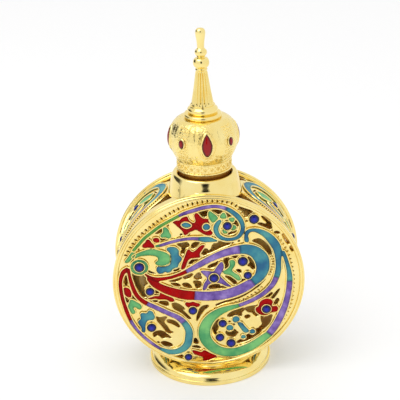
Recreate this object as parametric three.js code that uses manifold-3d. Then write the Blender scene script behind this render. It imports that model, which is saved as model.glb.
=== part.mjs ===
// An enamelled oil bottle: a drum-shaped gilt case with pierced, enamelled panels, round a glass flask,
// on a round foot. Its screw cap is a domed crown with red stones and a beaded spire, and carries a glass
// dip rod. Millimetres, +Z up, front towards -Y, origin on the table under the middle of the foot.
import * as THREE from "three";
import Module from "manifold-3d";
import { mergeVertices } from "three/addons/utils/BufferGeometryUtils.js";

const wasm = await Module();
wasm.setup();

// Clearances
const GAP = 0.3; // between neighbours that are fitted together
const SLIP = 0.15; // between the spire's stud and what is threaded on it

// Drum
const DRUM_RADIUS = 31;
const DRUM_DEPTH = 26; // front rim to back rim
const DRUM_LIFT = 2.8; // lowest point of the drum above the table
const RIM_WIDTH = 1.4; // rolled edge seen from the front
const RIM_BAND = 3.4; // how far each rim wraps round the side
const RIM_RABBET = 0.5; // how far the rim's lip covers the panel and the wall
const PANEL_RECESS = 0.9; // panel's face below the rim's crest
const PANEL_THICKNESS = 1.4;
const WALL_INSET = 1.2; // side wall below the rims
const WALL_THICKNESS = 1.5;
const RELIEF_HEIGHT = 0.5; // enamel, leaves and ridges above the panel or the wall
const BEZEL_HEIGHT = 0.6;
const BEZEL_WIDTH = 0.35;
const STONE_HEIGHT = 1.15; // top of a stone above the panel or the wall
const STONE_SIDES = 6;
const SIDE_STONE_RADIUS = 1.3;

// Foot
const FOOT_RADIUS = 20.5;
const FOOT_FLANGE = 1.5; // height of the upright edge that stands on the table
const FOOT_STEP = 0.5; // width of the ledge above that edge
const FOOT_CREST_RADIUS = 16.3; // top of the round moulding inside the ledge
const FOOT_CREST_HEIGHT = 3.7;
const FOOT_VALLEY = 0.7; // groove between the moulding and the stem, below the crest
const FOOT_RIM_WIDTH = 2.4; // ring that touches the table
const FOOT_STEM_RADIUS = 13.1;
const FOOT_RECESS = 0.9; // hollow underneath
const FOOT_PAD_THICKNESS = 0.6;
const SCREW_RADIUS = 1.25;
const SCREW_HEAD_RADIUS = 2.3;
const SCREW_HEAD_HEIGHT = 0.6;
const NUT_RADIUS = 2.6;
const NUT_HEIGHT = 1.8;
const SCREW_END = 0.4; // thread past the nut

// Neck
const SLEEVE_RADIUS = 8.1;
const COLLAR_FLARE = 3.7; // collar's outside beyond the sleeve where it meets the drum
const COLLAR_SEAT = 3.8; // collar's outer edge below the drum's top
const COLLAR_DROP = 0.9; // collar's crest below the sleeve's top
const COLLAR_DISH = 1.3; // depth of the dish inside the crest
const NECK_RADIUS = 5.2;
const NECK_BORE = 3;
const NECK_LENGTH = 20.7; // glass neck above the flask's shoulder
const NECK_SHOW = 9.8; // the part of it above the sleeve, inside the cap
const THREAD_HEIGHT = 0.7;
const THREAD_PITCH = 2.4;
const THREAD_TURNS = 2;
const THREAD_SET = 2.6; // top turn below the lip

// Flask
const FLASK_CLEARANCE = 3.8; // from the side walls, room for the nut and the cushion
const FLASK_SIDE_CLEARANCE = 2.2; // from each panel
const FLASK_WALL = 1.6;
const FLASK_CHAMFER = 2;
const CUSHION_WIDTH = 16;
const CUSHION_DEPTH = 12;
const GASKET_THICKNESS = 0.9;

// Cap
const BAND_RADIUS = 8.8;
const BAND_HEIGHT = 3.7;
const BAND_GROOVE = 0.25;
const BAND_BEAD = 0.7; // height of the band's plain edges
const DOME_RADIUS = 10.8;
const DOME_BELLY = 6.3; // widest point above the band
const DOME_HEIGHT = 13.3;
const DOME_TOP_RADIUS = 6.6;
const CAP_WALL = 1.6;
const INSERT_RADIUS = 7.3;
const INSERT_ROOF = 2.6;
const LINER_THICKNESS = 0.8;
const ROD_RADIUS = 1.4;
const ROD_TIP_RADIUS = 2.1;
const ROD_TIP_LENGTH = 5;
const ROD_DEPTH = 57; // rod's end below the neck's lip
const ROD_SOCKET = 1.5;

// Crown stones
const CROWN_TURN = 4.4; // degrees that the first large stone sits to the right of the front
const STONE_COUNT = 4;
const LARGE_STONE_WIDTH = 3.1;
const LARGE_STONE_HEIGHT = 7.2;
const SMALL_STONE_WIDTH = 2.1;
const SMALL_STONE_HEIGHT = 2.8;
const STONE_RISE = 0.9; // stones' middle above the dome's widest point
const CROWN_BEZEL_WIDTH = 0.55;
const CROWN_BEZEL_STAND = 0.6; // bezel's crest outside the dome
const CROWN_STONE_STAND = 0.85; // stone's face outside the dome
const CROWN_STONE_SINK = 0.7; // stone's seat inside the dome's widest point

// Spire
const LOWER_RING_RADIUS = 6.05;
const LOWER_RING_HEIGHT = 1.4;
const UPPER_RING_RADIUS = 4.85;
const UPPER_RING_HEIGHT = 2.6;
const CONE_RADIUS = 3.55;
const CONE_TOP_RADIUS = 1.75;
const CONE_HEIGHT = 11.2;
const CONE_FLUTES = 16;
const FLUTE_DEPTH = 0.3;
const LARGE_BEAD_RADIUS = 2.55;
const LARGE_BEAD_HEIGHT = 4.3;
const SMALL_BEAD_RADIUS = 1.93;
const SMALL_BEAD_HEIGHT = 2.8;
const TIP_RADIUS = 1.57;
const TIP_WAIST_RADIUS = 1.1;
const TIP_HEIGHT = 6.3;
const STUD_RADIUS = 0.6;
const STUD_IN_TIP = 3;

// Facets
const DRUM_SIDES = 48;
const NECK_SIDES = 24;
const BEAD_SIDES = 12;
const SCROLL_STEPS = 2; // stations on an enamelled scroll for each span between its points
const RIDGE_STEPS = 1; // the same on a scroll that is part of a wall or a panel
const THREAD_STEPS = 12; // stations on the thread for each turn

// Places worked out from the sizes
const axisHeight = DRUM_LIFT + DRUM_RADIUS;
const drumTop = axisHeight + DRUM_RADIUS;
const fieldRadius = DRUM_RADIUS - RIM_WIDTH;
const rabbetRadius = fieldRadius + RIM_RABBET;
const crest = DRUM_DEPTH / 2;
const panelFace = crest - PANEL_RECESS;
const panelBack = panelFace - PANEL_THICKNESS;
const rimBack = crest - RIM_BAND;
const wallHalf = panelBack - GAP;
const wallOutside = DRUM_RADIUS - WALL_INSET;
const wallInside = wallOutside - WALL_THICKNESS;
const flaskRadius = wallInside - FLASK_CLEARANCE;
const flaskHalf = panelBack - FLASK_SIDE_CLEARANCE;
const shoulder = axisHeight + flaskRadius;
const lip = shoulder + NECK_LENGTH;
const threadRadius = NECK_RADIUS + THREAD_HEIGHT;
const boreRadius = threadRadius + GAP;
const sleeveBottom = shoulder + GASKET_THICKNESS;
const sleeveTop = lip - NECK_SHOW;
const collarCrest = sleeveTop - COLLAR_DROP;
const collarFoot = drumTop - COLLAR_SEAT;
const capBottom = sleeveTop + GAP;
const bandTop = capBottom + BAND_HEIGHT;
const belly = bandTop + DOME_BELLY;
const domeTop = bandTop + DOME_HEIGHT;
const linerTop = lip + LINER_THICKNESS;
const insertTop = linerTop + INSERT_ROOF;
const lowerRingTop = domeTop + LOWER_RING_HEIGHT;
const upperRingTop = lowerRingTop + UPPER_RING_HEIGHT;
const coneTop = upperRingTop + CONE_HEIGHT;
const largeBeadTop = coneTop + LARGE_BEAD_HEIGHT;
const smallBeadTop = largeBeadTop + SMALL_BEAD_HEIGHT;
const tipTop = smallBeadTop + TIP_HEIGHT;
const drawingUnit = DRUM_RADIUS / 31; // the drawings below count 31 units to the drum's radius
const depthUnit = DRUM_DEPTH / 26; // and 26 units from its front to its back
const DRAWING_RISE = 0.6; // units from the drum's axis up to the middle of a panel's drawing

// Materials
const finish = (color, roughness, metalness = 0) =>
  new THREE.MeshStandardMaterial({ color, roughness, metalness });
const gold = finish(0xe6bd4e, 0.15, 1);
const steel = finish(0x9a9a98, 0.35, 1);
const plastic = finish(0xe6e1d3, 0.5);
const felt = finish(0x2b2523, 0.95);
const rubber = finish(0xbdb9ae, 0.8);
const ruby = finish(0x96000a, 0.08);
const glass = new THREE.MeshStandardMaterial(
  { color: 0xe8f0ec, roughness: 0.03, transparent: true, opacity: 0.35 });
const enamels = {
  red: finish(0xa30508, 0.2),
  violet: finish(0x7c63b8, 0.25),
  blue: finish(0x33789f, 0.25),
  green: finish(0x5fb275, 0.25),
};

// Enamelled scrolls of a panel, seen from the front, in drawing units. Each runs along [across, up from
// the drawing's middle, width] points, and scrolls of one piece meet.
const SCROLLS = {
  paisley_red: [
    [[-20.4, 3.5, 0.8], [-18.7, 2.3, 1.1], [-16, 1.5, 1.3], [-12.3, 2, 1.1], [-9.7, 2.8, 1.2],
      [-7.1, 3.9, 1.4]],
    [[-19.8, 2.8, 1], [-17.6, -0.2, 1.9], [-15, -1.9, 2.5], [-12, -3.3, 3], [-8.5, -4.4, 3.3],
      [-4.7, -4.95, 3.3]],
  ],
  paisley_violet_lower: [
    [[-4.7, -4.95, 3.3], [0, -5.35, 3.4], [5, -5, 3.5], [9, -3.8, 3.5], [12, -2.3, 3.3], [14.2, -0.8, 3.1]],
  ],
  paisley_blue: [
    [[14.2, -0.8, 3.1], [16.3, 1, 3.3], [17.4, 3.2, 4], [17.5, 5.3, 4.3], [16.8, 7.8, 4.5], [15, 9.9, 4],
      [12.6, 10.9, 3.4], [10.2, 11, 3.1]],
  ],
  paisley_violet_upper: [
    [[10.2, 11, 3.1], [8, 10.7, 2.8], [5, 9.9, 2.4], [1.8, 8.5, 2.2], [-1.2, 7, 2], [-4.2, 5.3, 1.9],
      [-7.1, 3.9, 1.4]],
  ],
  crest_green: [
    [[-26.3, 8.1, 0.9], [-24.4, 9.9, 2.2], [-21.5, 10.8, 1.6], [-18.2, 11.3, 2.2], [-14.7, 10.1, 2.6],
      [-13.3, 8.1, 2.2], [-15.2, 7, 1.4], [-16.8, 7.5, 0.6]],
    [[-24.6, 10.6, 1], [-22, 14.1, 0.7], [-17.5, 18.3, 0.7], [-12, 21.9, 0.7], [-8.8, 23.6, 0.8]],
  ],
  crest_violet: [
    [[-8.8, 23.6, 0.8], [-5.5, 25, 1.2], [-1.5, 26.1, 1.2], [2.5, 26.4, 1.2], [6.2, 25.5, 1.3]],
  ],
  crest_blue: [
    [[6.2, 25.5, 1.3], [8.2, 24.3, 1.5], [9.9, 22.5, 1.6], [11, 20.4, 1.4], [11.2, 18.2, 1.2],
      [10.5, 16.4, 1.2],
      [9, 15.1, 1.2], [7, 14.7, 1.2], [5, 15, 1.2], [3.6, 16.1, 1.3], [2.9, 17.8, 1.5], [3, 19.6, 1.5],
      [4.3, 21.5, 0.8]],
  ],
  hook_blue: [
    [[12.5, 14.2, 1.3], [12.4, 16, 1.3], [13.4, 17.5, 1.3], [15.1, 17.7, 1.3], [17.4, 16.8, 1.8],
      [19.5, 15.1, 2.3],
      [21.3, 12.7, 2.6], [22.5, 9.9, 2.2], [22.6, 7, 1.6], [22.6, 4, 1.7], [21.8, 0.6, 1.8]],
    [[26.1, -1, 1.8], [26, 2, 1.4], [25.4, 5.3, 1.2], [23.4, 10.4, 1.1]],
  ],
  hook_green: [
    [[9.6, -9.2, 1.4], [6.5, -10, 1.9], [3.3, -11.2, 2.6], [0.5, -13.2, 3.2], [-1.3, -15.8, 3.6],
      [-2, -18.5, 3.7],
      [-1.6, -21.3, 3.6], [0, -23.8, 3.4], [2.4, -25.6, 3.2], [5.2, -26.5, 3.1], [8.3, -26.5, 3.1],
      [12, -25.3, 3],
      [15, -23.6, 2.8], [19.3, -20.2, 2.4]],
  ],
  hook_violet: [
    [[19.3, -20.2, 2.4], [21.4, -17.1, 2.4], [23.1, -13.7, 2.2], [24.7, -9.6, 2], [25.7, -5, 1.8],
      [26.1, -1, 1.8]],
  ],
  corner_red: [
    [[-25.5, 5.9, 1], [-27.4, 4.5, 1.4], [-28.3, 1.8, 1.1], [-28.4, -1.5, 1.1], [-28, -5, 1.1],
      [-27, -9.8, 1.1], [-25.8, -12.9, 1.1]],
    [[-25.7, 5.9, 1], [-24.9, 0.6, 1.2], [-23.9, -2.9, 1.3], [-22.4, -5.4, 1.4], [-20.3, -7.2, 1.6]],
  ],
  corner_blue: [
    [[-8.6, -14.6, 2], [-7.1, -17.6, 2.3], [-7.1, -20.2, 2.5], [-7.7, -22.7, 2.5], [-8.8, -24.3, 2.4],
      [-10.7, -25.3, 2.2], [-12.5, -25.4, 2], [-14.6, -25, 1.8], [-16.7, -23.9, 1.7]],
  ],
};

// Narrow raised scrolls of the panel itself, in the same form
const RIDGES = [
  [[-3.1, 15.3, 1.2], [-5.5, 15.5, 1.1], [-9, 15.1, 1.1], [-12, 14.4, 1.1], [-16.8, 13.3, 0.9]],
  [[3.2, 14.4, 0.5], [2.1, 14.5, 1], [0.8, 14.9, 1.7], [-1, 15.1, 1.7], [-2.7, 15.3, 1.2]],
  [[-20.3, -7.2, 1.6], [-17, -9, 1.6], [-13.5, -11, 1.7], [-10.5, -12.8, 1.8], [-8.6, -14.6, 2]],
  [[-16.7, -23.9, 1.7], [-18.5, -22.4, 1.4], [-20.4, -20.7, 1.4], [-22.2, -18.6, 1.4], [-24.6, -15.3, 1.3],
    [-25.8, -12.9, 1.1]],
  [[21.8, 0.6, 1.8], [20.6, -2, 1.7], [18.4, -4.5, 1.6], [15.6, -6.7, 1.5], [12.6, -8.2, 1.4],
    [9.6, -9.2, 1.4]],
  [[-26.2, 9.8, 0.6], [-18.8, 18.9, 0.6], [-9, 25.4, 0.6], [1, 28.1, 0.6], [11, 26.2, 0.6], [20.5, 19.6, 0.6],
    [27, 8, 0.6], [27.8, -4, 0.6], [25, -14.5, 0.6], [19, -22.2, 0.6], [10, -27.2, 0.6]],
];

// Outlines of the leaves and flowers raised on a panel, as [across, up from the drawing's middle]
const LEAVES = [
  [[-10.9, 21.6], [-8.6, 21.9], [-8, 22.8], [-6.2, 23.2], [-5.9, 22.3], [-4.4, 20.9], [-3.5, 21.2],
    [-3.9, 23.6],
    [-3.4, 24.3], [-2, 22.9], [0.2, 22.2], [0.7, 18.2], [1.7, 17.5], [1.5, 16.7], [-1.6, 17.3], [-3.6, 18.7],
    [-5.5, 18], [-6.9, 16.8], [-7.6, 18]],
  [[-20.8, 13.6], [-19.6, 14.7], [-18.9, 15.9], [-16.9, 13.8], [-17.3, 12.9], [-19.3, 13]],
  [[-17.3, 15.9], [-15.6, 16.2], [-15.4, 14.9], [-16.9, 14.8]],
  [[-8.7, 4.9], [-8.1, 7.3], [-6.1, 11.7], [-4.9, 10.7], [-2.8, 12.4], [-1, 13], [-2.6, 10.3], [-2.6, 9],
    [-5.6, 8.6], [-7.6, 5.3]],
  [[-19.8, -5.3], [-17.6, -4.5], [-15.8, -3.6], [-13.2, -4.9], [-11.5, -6.5], [-12.6, -6.8], [-17.5, -5.6]],
  [[-27.2, -1.1], [-26.1, -1.3], [-25.6, -2.9], [-25.7, -4.3], [-26.7, -3.8]],
  [[-7.6, -7.3], [-3.2, -8], [-3.5, -8.9], [-7.4, -8.8]],
  [[15.1, -10.4], [16.3, -9.7], [16.4, -8.5], [17.6, -7.6], [19.9, -7.5], [20.3, -10], [22.2, -10.8],
    [19.9, -12.3],
    [17.2, -13], [15.9, -12.4]],
  [[-6.1, -25.3], [-3, -26.2], [-2.4, -25.5], [1.8, -28], [-1.7, -29.6], [-3, -29.3], [-2.3, -28.3],
    [-5.7, -26.5]],
  [[4.4, 6.7], [4.8, 5], [3.7, 2], [7.2, -2.2], [1, -0.6], [-1.8, -2.9], [-0.5, 1.4], [-2.4, 3.7], [2, 3.8],
    [3.3, 5.9]],
  [[-13, 12.3], [-10.2, 12.5], [-9.3, 11.3], [-9.5, 9.9], [-8.6, 8.7], [-8.8, 7.4], [-10.1, 5.5],
    [-11.6, 5.1],
    [-12.4, 4], [-14, 4.3], [-15.3, 3.5], [-16.4, 4.4], [-16.4, 5.8], [-14.2, 5.8], [-12.1, 6.8],
    [-11.6, 9.4]],
  [[-19.8, -9.8], [-18.6, -10.3], [-18.1, -12], [-20.6, -13.6], [-21.6, -17.6], [-22.3, -17.2],
    [-23.4, -14.2],
    [-22.4, -12.7], [-22.4, -10.8]],
  [[9, -15.7], [10.3, -15.6], [12.6, -18.7], [11.1, -19.3]],
  [[-13.7, 19.8], [-12.4, 19.2], [-11.6, 17], [-12.1, 16.4], [-14.4, 16.4], [-13.8, 18.3]],
  [[0.8, 24.8], [3, 23.4], [3.3, 22], [2, 21.1], [1.2, 21.9]],
  [[7.5, 7.5], [8.2, 6.5], [7.1, 3.5], [9.6, 1.7], [9.8, 0], [5.6, 2.1], [5.7, 3.4], [7.4, 5.9]],
  [[-25.6, -5.7], [-22.3, -8.5], [-22.9, -9.1], [-24.8, -8.4], [-24.5, -10.4], [-25.3, -10.5], [-26.3, -7.8]],
];

// Pierced places of a panel, as [across, up from the drawing's middle]
const PIERCINGS = [
  [[-24.1, 4], [-21.3, 3.2], [-19.7, -0.6], [-21.2, -1.7], [-21.2, -4], [-22.6, -2.9], [-23.8, 0.2]],
  [[-9.6, 13.5], [-7, 14], [-5.9, 13], [-7.8, 10.3], [-8.6, 10.3]],
  [[-4.8, 13.4], [-2.8, 13.8], [-3.4, 12.6], [-4.9, 11.8]],
  [[1.8, 12.9], [4, 13.8], [6.9, 13.2], [4.5, 12], [0.5, 10.4]],
  [[-2.4, 24.8], [-0.1, 25], [-0.9, 23.1]],
  [[1.8, 25.1], [4.6, 24.7], [3.7, 23.6]],
  [[-16.3, 17.7], [-14.6, 19], [-14.5, 18.4], [-15.4, 17.6]],
  [[9.9, 25.7], [12, 25.1], [14, 24], [12.7, 22.4]],
  [[17.3, 22], [19, 20.9], [20.1, 18.2], [16.3, 19.6]],
  [[14.7, 13.6], [16.6, 14], [18.2, 12.4], [19.7, 9.4], [16.1, 12.8]],
  [[13, 8.1], [14.5, 6.6], [14.9, 4], [13, 5]],
  [[5.3, 7.6], [6.4, 8.1], [6.5, 6.6], [5.4, 4.6]],
  [[-12.9, 0.5], [-8.8, 1.5], [-9.8, 0.5]],
  [[-8, 2], [-5.2, 2.5], [-6.5, 1]],
  [[-4.5, 1.3], [-3, 2.9], [-2.4, 1]],
  [[-4.8, 0], [-2.7, -0.5], [-2.7, -2.2], [-3.9, -2.6]],
  [[0.3, -1.4], [3.3, -1.3], [5.6, -2.6], [0.2, -2.9]],
  [[5.7, 1.4], [7.3, 0.8], [8.9, -1.3]],
  [[2, -9.1], [5, -7.7], [9, -6.4], [13, -4.4], [9, -7]],
  [[-16.4, -7.3], [-15.2, -6.9], [-13.7, -7.3], [-13.6, -8.4]],
  [[-11.9, -7.6], [-10.5, -8], [-8.2, -10.2], [-7.3, -12.8], [-11.8, -9.6]],
  [[-3.2, -10.1], [-0.6, -9.1], [-4.2, -14.4]],
  [[-17.2, -12.6], [-14.4, -12.7], [-12.6, -18.7], [-14, -18.6], [-16.2, -15.5]],
  [[-18.6, -18.7], [-15.2, -18.3], [-13.2, -20.7], [-17.4, -19.5]],
  [[-16.3, -22.2], [-15, -22], [-12.8, -23.4], [-15.3, -23.3]],
  [[1, -18.5], [1.5, -15.8], [2.4, -14.8], [2.3, -18.3]],
  [[6.3, -12.4], [10.2, -10.9], [10.2, -12.4], [6.8, -13.1]],
  [[11.4, -10.6], [14.7, -9.9], [14.6, -11.5], [12.2, -11.6]],
  [[16.4, -13.5], [19.8, -13.2], [17.8, -16.4]],
  [[14.7, -16.7], [17.3, -17.3], [12.6, -21.8]],
  [[5.3, -18.9], [8.4, -17.8], [9.2, -19.5], [5.3, -20.3]],
];

// Stones of a panel, as [across, up from the drawing's middle, radius]
const STONES = [
  [6.4, 19.5, 1.35], [14.9, 21.5, 1.5], [-22.1, 6.3, 1.6], [11.1, 6.8, 1.5], [12.6, 1.7, 1.2],
  [1.7, 1.2, 1.4],
  [-19.1, -2.8, 1.35], [-5.5, -10.4, 1.35], [-19.2, -16.1, 1.5], [4.1, -15.6, 1.3], [3.1, -20.8, 1.35],
  [6.7, -23.1, 1.4], [18.5, -10.9, 1.4], [-7.5, -27.6, 1.1],
];

// Scrolls, piercings and stones of the upper half of the right side wall, as [round the drum from its
// top, towards the back]. The lower half is the upper one turned over about the wall's middle.
const SIDE_SCROLLS = [
  [[21.5, 8.6, 1.3], [17.6, 7.8, 1.7], [14.9, 5.6, 2.1], [14.1, 2.6, 2.3], [14.8, -0.6, 2.2], [17, -3.4, 1.9],
    [20.2, -4.9, 1.5], [24, -5.6, 1.2], [28.5, -6.1, 1.1], [32.5, -6.8, 1.2], [37, -8, 0.9]],
  [[21.5, 8.6, 1.3], [26, 8.5, 1.1], [30.5, 6.8, 1.1], [34.2, 3.4, 1.2], [36.6, -0.8, 1.3], [38.2, -5, 1]],
  [[37.5, 6.6, 1.2], [40.6, 3.4, 1.8], [43, -0.6, 2], [43.9, -4.8, 1.4]],
  [[22.2, 1.8, 1.3], [24.6, 0.2, 2.2], [27.3, -1, 1.4]],
];
const SIDE_PIERCINGS = [
  [[11.2, -3], [17.4, -7.6], [18, -8.6], [10.4, -8.6]],
  [[16.6, 1.6], [18.2, 2.6], [18, 0.6]],
  [[19.6, -1.6], [24.6, -3.6], [20.6, -3.2]],
  [[25.6, 6.2], [28.8, 5.4], [29, 4.2], [26.4, 5]],
  [[29, 1.6], [32.4, 1.2], [30.4, -0.8]],
  [[28.4, -3.4], [31.4, -4], [34.6, -5.2], [29.4, -4.8]],
];
const SIDE_STONES = [[26.2, 3.6], [33, -2.6]];
const SIDE_MIDDLE = 45.5;

// Solid modelling helpers
const solidOf = (geometry) => {
  const plain = geometry.clone();
  for (const name of Object.keys(plain.attributes)) {
    if (name !== "position") plain.deleteAttribute(name);
  }
  const merged = mergeVertices(plain, 1e-4);
  return new wasm.Manifold(new wasm.Mesh({
    numProp: 3,
    vertProperties: new Float32Array(merged.attributes.position.array),
    triVerts: new Uint32Array(merged.index.array),
  }));
};
const geometryOf = (solid) => {
  const mesh = solid.getMesh();
  const geometry = new THREE.BufferGeometry();
  geometry.setAttribute("position", new THREE.BufferAttribute(mesh.vertProperties, 3));
  geometry.setIndex(new THREE.BufferAttribute(mesh.triVerts, 1));
  return geometry;
};
const joined = (geometries) => geometries.map(solidOf).reduce((whole, solid) => whole.add(solid));
const between = (low, high, share) => low + share * (high - low);

// A body turned about Z from [radius, height] points, which run anticlockwise
const turned = (profile, sides = NECK_SIDES) => {
  const line = profile.map(([radius, height]) => new THREE.Vector2(radius, height));
  const body = new THREE.LatheGeometry(line, sides);
  return body.rotateX(Math.PI / 2);
};
const ring = (inside, outside, low, high) =>
  [[inside, low], [outside, low], [outside, high], [inside, high], [inside, low]];
const rod = (radius, low, high) => [[0, low], [radius, low], [radius, high], [0, high]];

// From a drawing of the drum's front, across and up from its axis and out towards the front, to its place
const toFront = (geometry) => geometry.rotateX(Math.PI / 2).translate(0, 0, axisHeight);
const toBack = (geometry) => geometry.clone().rotateZ(Math.PI);
const drumTurned = (profile, sides = DRUM_SIDES) => toFront(turned(profile, sides));

const onPanel = (drawings) => drawings.map((points) => points.map(([x, y, ...size]) =>
  [x, y + DRAWING_RISE, ...size].map((units) => units * drawingUnit)));
const shapeOf = (points) => new THREE.Shape(points.map(([x, y]) => new THREE.Vector2(x, y)));
const plate = (shape, low, high, curveSegments = DRUM_SIDES / 2) => {
  const body = new THREE.ExtrudeGeometry(shape, { depth: high - low, bevelEnabled: false, curveSegments });
  return body.translate(0, 0, low);
};

// A scroll's outline from points along its middle. It stops short of its neighbours' ends, and with a
// margin it's the room that it takes instead.
const scrollShape = (points, stepsPerSpan = SCROLL_STEPS, margin = 0) => {
  const curve = new THREE.CatmullRomCurve3(points.map(([x, y, width]) => new THREE.Vector3(x, y, width)));
  const steps = (points.length - 1) * stepsPerSpan;
  const trim = margin > 0 ? 0 : GAP / 2 / curve.getLength();
  const left = [];
  const right = [];
  for (let step = 0; step <= steps; step++) {
    const share = trim + (1 - 2 * trim) * (step / steps);
    const middle = curve.getPoint(share);
    const along = curve.getTangent(share).setZ(0).normalize();
    const half = middle.z / 2 + margin;
    left.unshift([middle.x - along.y * half, middle.y + along.x * half]);
    right.push([middle.x + along.y * half, middle.y - along.x * half]);
  }
  return shapeOf([...right, ...left]);
};

// A stone in its bezel, standing on the given height
const stone = ([x, y, radius], base) => turned([
  [0, base], [radius + BEZEL_WIDTH, base], [radius + BEZEL_WIDTH, base + BEZEL_HEIGHT],
  [radius, base + BEZEL_HEIGHT],
  [0.6 * radius, base + 0.9 * STONE_HEIGHT], [0, base + STONE_HEIGHT]], STONE_SIDES).translate(x, y, 0);
const stoneRoom = ([x, y, radius]) =>
  turned(rod(radius + BEZEL_WIDTH + GAP, panelBack, crest + STONE_HEIGHT), STONE_SIDES).translate(x, y, 0);

const bottle = new THREE.Group();
const add = (name, geometry, material) => {
  const mesh = new THREE.Mesh(geometry, material);
  mesh.name = name;
  bottle.add(mesh);
};

// Panels, their enamel and their rims
const reliefTop = panelFace + RELIEF_HEIGHT;
const panelShape = new THREE.Shape().absarc(0, 0, rabbetRadius - GAP, 0, 2 * Math.PI);
const piercings = onPanel(PIERCINGS).map(shapeOf);
panelShape.holes = piercings;
const scrollRoom = joined(onPanel(Object.values(SCROLLS).flat())
  .map((points) => plate(scrollShape(points, SCROLL_STEPS, GAP), panelFace, reliefTop + GAP)));
const raisedShapes = [
  ...onPanel(RIDGES).map((points) => scrollShape(points, RIDGE_STEPS)), ...onPanel(LEAVES).map(shapeOf)];
const relief = joined(raisedShapes.map((shape) => plate(shape, panelBack, reliefTop))).subtract(scrollRoom)
  .subtract(joined(piercings.map((shape) => plate(shape, panelBack - GAP, panelFace))));
const stonePlaces = onPanel([STONES]).flat();
const panel = toFront(geometryOf(solidOf(plate(panelShape, panelBack, panelFace)).add(relief)
  .add(joined(stonePlaces.map((place) => stone(place, panelBack + GAP))))));
add("front_panel", panel, gold);
add("back_panel", toBack(panel), gold);

const stonesRoom = joined(stonePlaces.map(stoneRoom));
for (const [name, scrolls] of Object.entries(SCROLLS)) {
  const cell = joined(onPanel(scrolls).map((points) => plate(scrollShape(points), panelFace, reliefTop)));
  const enamel = toFront(geometryOf(cell.subtract(stonesRoom)));
  const colour = name.split("_")[1];
  add(`front_${name}`, enamel, enamels[colour]);
  add(`back_${name}`, toBack(enamel), enamels[colour]);
}

const rim = drumTurned([
  [fieldRadius, panelFace], [rabbetRadius, panelFace], [rabbetRadius, rimBack], [DRUM_RADIUS, rimBack],
  [DRUM_RADIUS, crest - 0.6 * PANEL_RECESS], [DRUM_RADIUS - 0.5 * RIM_WIDTH, crest],
  [fieldRadius, crest - 0.6 * PANEL_RECESS], [fieldRadius, panelFace]]);
add("front_rim", rim, gold);
add("back_rim", toBack(rim), gold);

// Side walls. A flat drawing is wrapped round the drum from its top: x runs round it, y to the back and z
// outwards.
const wrapped = (geometry) => {
  const place = geometry.attributes.position;
  for (let i = 0; i < place.count; i++) {
    const angle = place.getX(i) / wallOutside;
    const radius = place.getZ(i);
    place.setXYZ(i, radius * Math.sin(angle), place.getY(i), axisHeight + radius * Math.cos(angle));
  }
  return geometry;
};
const turnedOver = (points) => points.map(([x, y, ...width]) => [2 * SIDE_MIDDLE - x, -y, ...width]);
const mirrored = (points) => points.map(([x, y, ...width]) => [x, -y, ...width]);
const onSide = (drawings) => drawings.map((points) => points.map(([x, y, ...width]) =>
  [x * drawingUnit, y * depthUnit, ...width.map((units) => units * drawingUnit)]));
const wallRing = solidOf(drumTurned(ring(wallInside, wallOutside, -wallHalf, wallHalf)));
const neckHole = solidOf(turned(rod(SLEEVE_RADIUS + GAP, axisHeight, sleeveTop)));
const screwHole = solidOf(turned(rod(SCREW_RADIUS + GAP, 0, axisHeight - flaskRadius), BEAD_SIDES));
for (const name of ["left", "right"]) {
  const isLeft = name === "left";
  const drawings = (upper) => onSide([...upper, ...upper.map(turnedOver)])
    .map((points) => (isLeft ? mirrored(points) : points));
  const placed = (geometry) => (isLeft ? wrapped(geometry).rotateZ(Math.PI) : wrapped(geometry));
  const half = new THREE.BoxGeometry(DRUM_RADIUS, DRUM_DEPTH, 2.2 * DRUM_RADIUS)
    .translate((isLeft ? -1 : 1) * (DRUM_RADIUS + GAP) / 2, 0, axisHeight);
  const raised = drawings(SIDE_SCROLLS).map((points) =>
    placed(plate(scrollShape(points, RIDGE_STEPS), wallInside + GAP, wallOutside + RELIEF_HEIGHT)));
  const stones = drawings([SIDE_STONES]).flat()
    .map(([x, y]) => placed(stone([x, y, SIDE_STONE_RADIUS], wallOutside - GAP)));
  const pierced = joined(drawings(SIDE_PIERCINGS).map((points) =>
    placed(plate(shapeOf(points), wallInside - GAP, wallOutside + GAP))));
  const wall = wallRing.intersect(solidOf(half)).subtract(neckHole).subtract(screwHole).subtract(pierced);
  add(`${name}_side_wall`, geometryOf(wall.add(joined([...raised, ...stones]))), gold);
}

// What the collar and the foot are scribed to: the side walls and the rims, with the gap added
const rimScribe = drumTurned(rod(DRUM_RADIUS + GAP, rimBack - GAP, crest + GAP));
const scribe = joined([drumTurned(rod(wallOutside + GAP, -crest, crest)), rimScribe, toBack(rimScribe)]);

// Collar, sleeve and gasket round the neck
const collarInside = SLEEVE_RADIUS + GAP;
const collarOutside = SLEEVE_RADIUS + COLLAR_FLARE;
const collarAt = (share) => collarInside + share * (collarOutside - collarInside);
add("neck_collar", geometryOf(solidOf(turned([
  [collarInside, axisHeight], [collarOutside, axisHeight], [collarOutside, collarFoot],
  [collarAt(0.94), between(collarFoot, collarCrest, 0.4)],
  [collarAt(0.87), between(collarFoot, collarCrest, 0.65)],
  [collarAt(0.76), between(collarFoot, collarCrest, 0.85)],
  [collarAt(0.62), collarCrest - 0.15 * COLLAR_DISH],
  [collarAt(0.45), collarCrest], [collarAt(0.3), collarCrest - 0.25 * COLLAR_DISH],
  [collarAt(0.15), collarCrest - COLLAR_DISH], [collarInside, collarCrest - 1.2 * COLLAR_DISH],
  [collarInside, axisHeight]])).subtract(scribe)), gold);
add("neck_sleeve", turned(ring(boreRadius, SLEEVE_RADIUS, sleeveBottom, sleeveTop)), gold);
const flaskRoom = solidOf(drumTurned(rod(flaskRadius + GAP, -crest, crest)));
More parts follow.
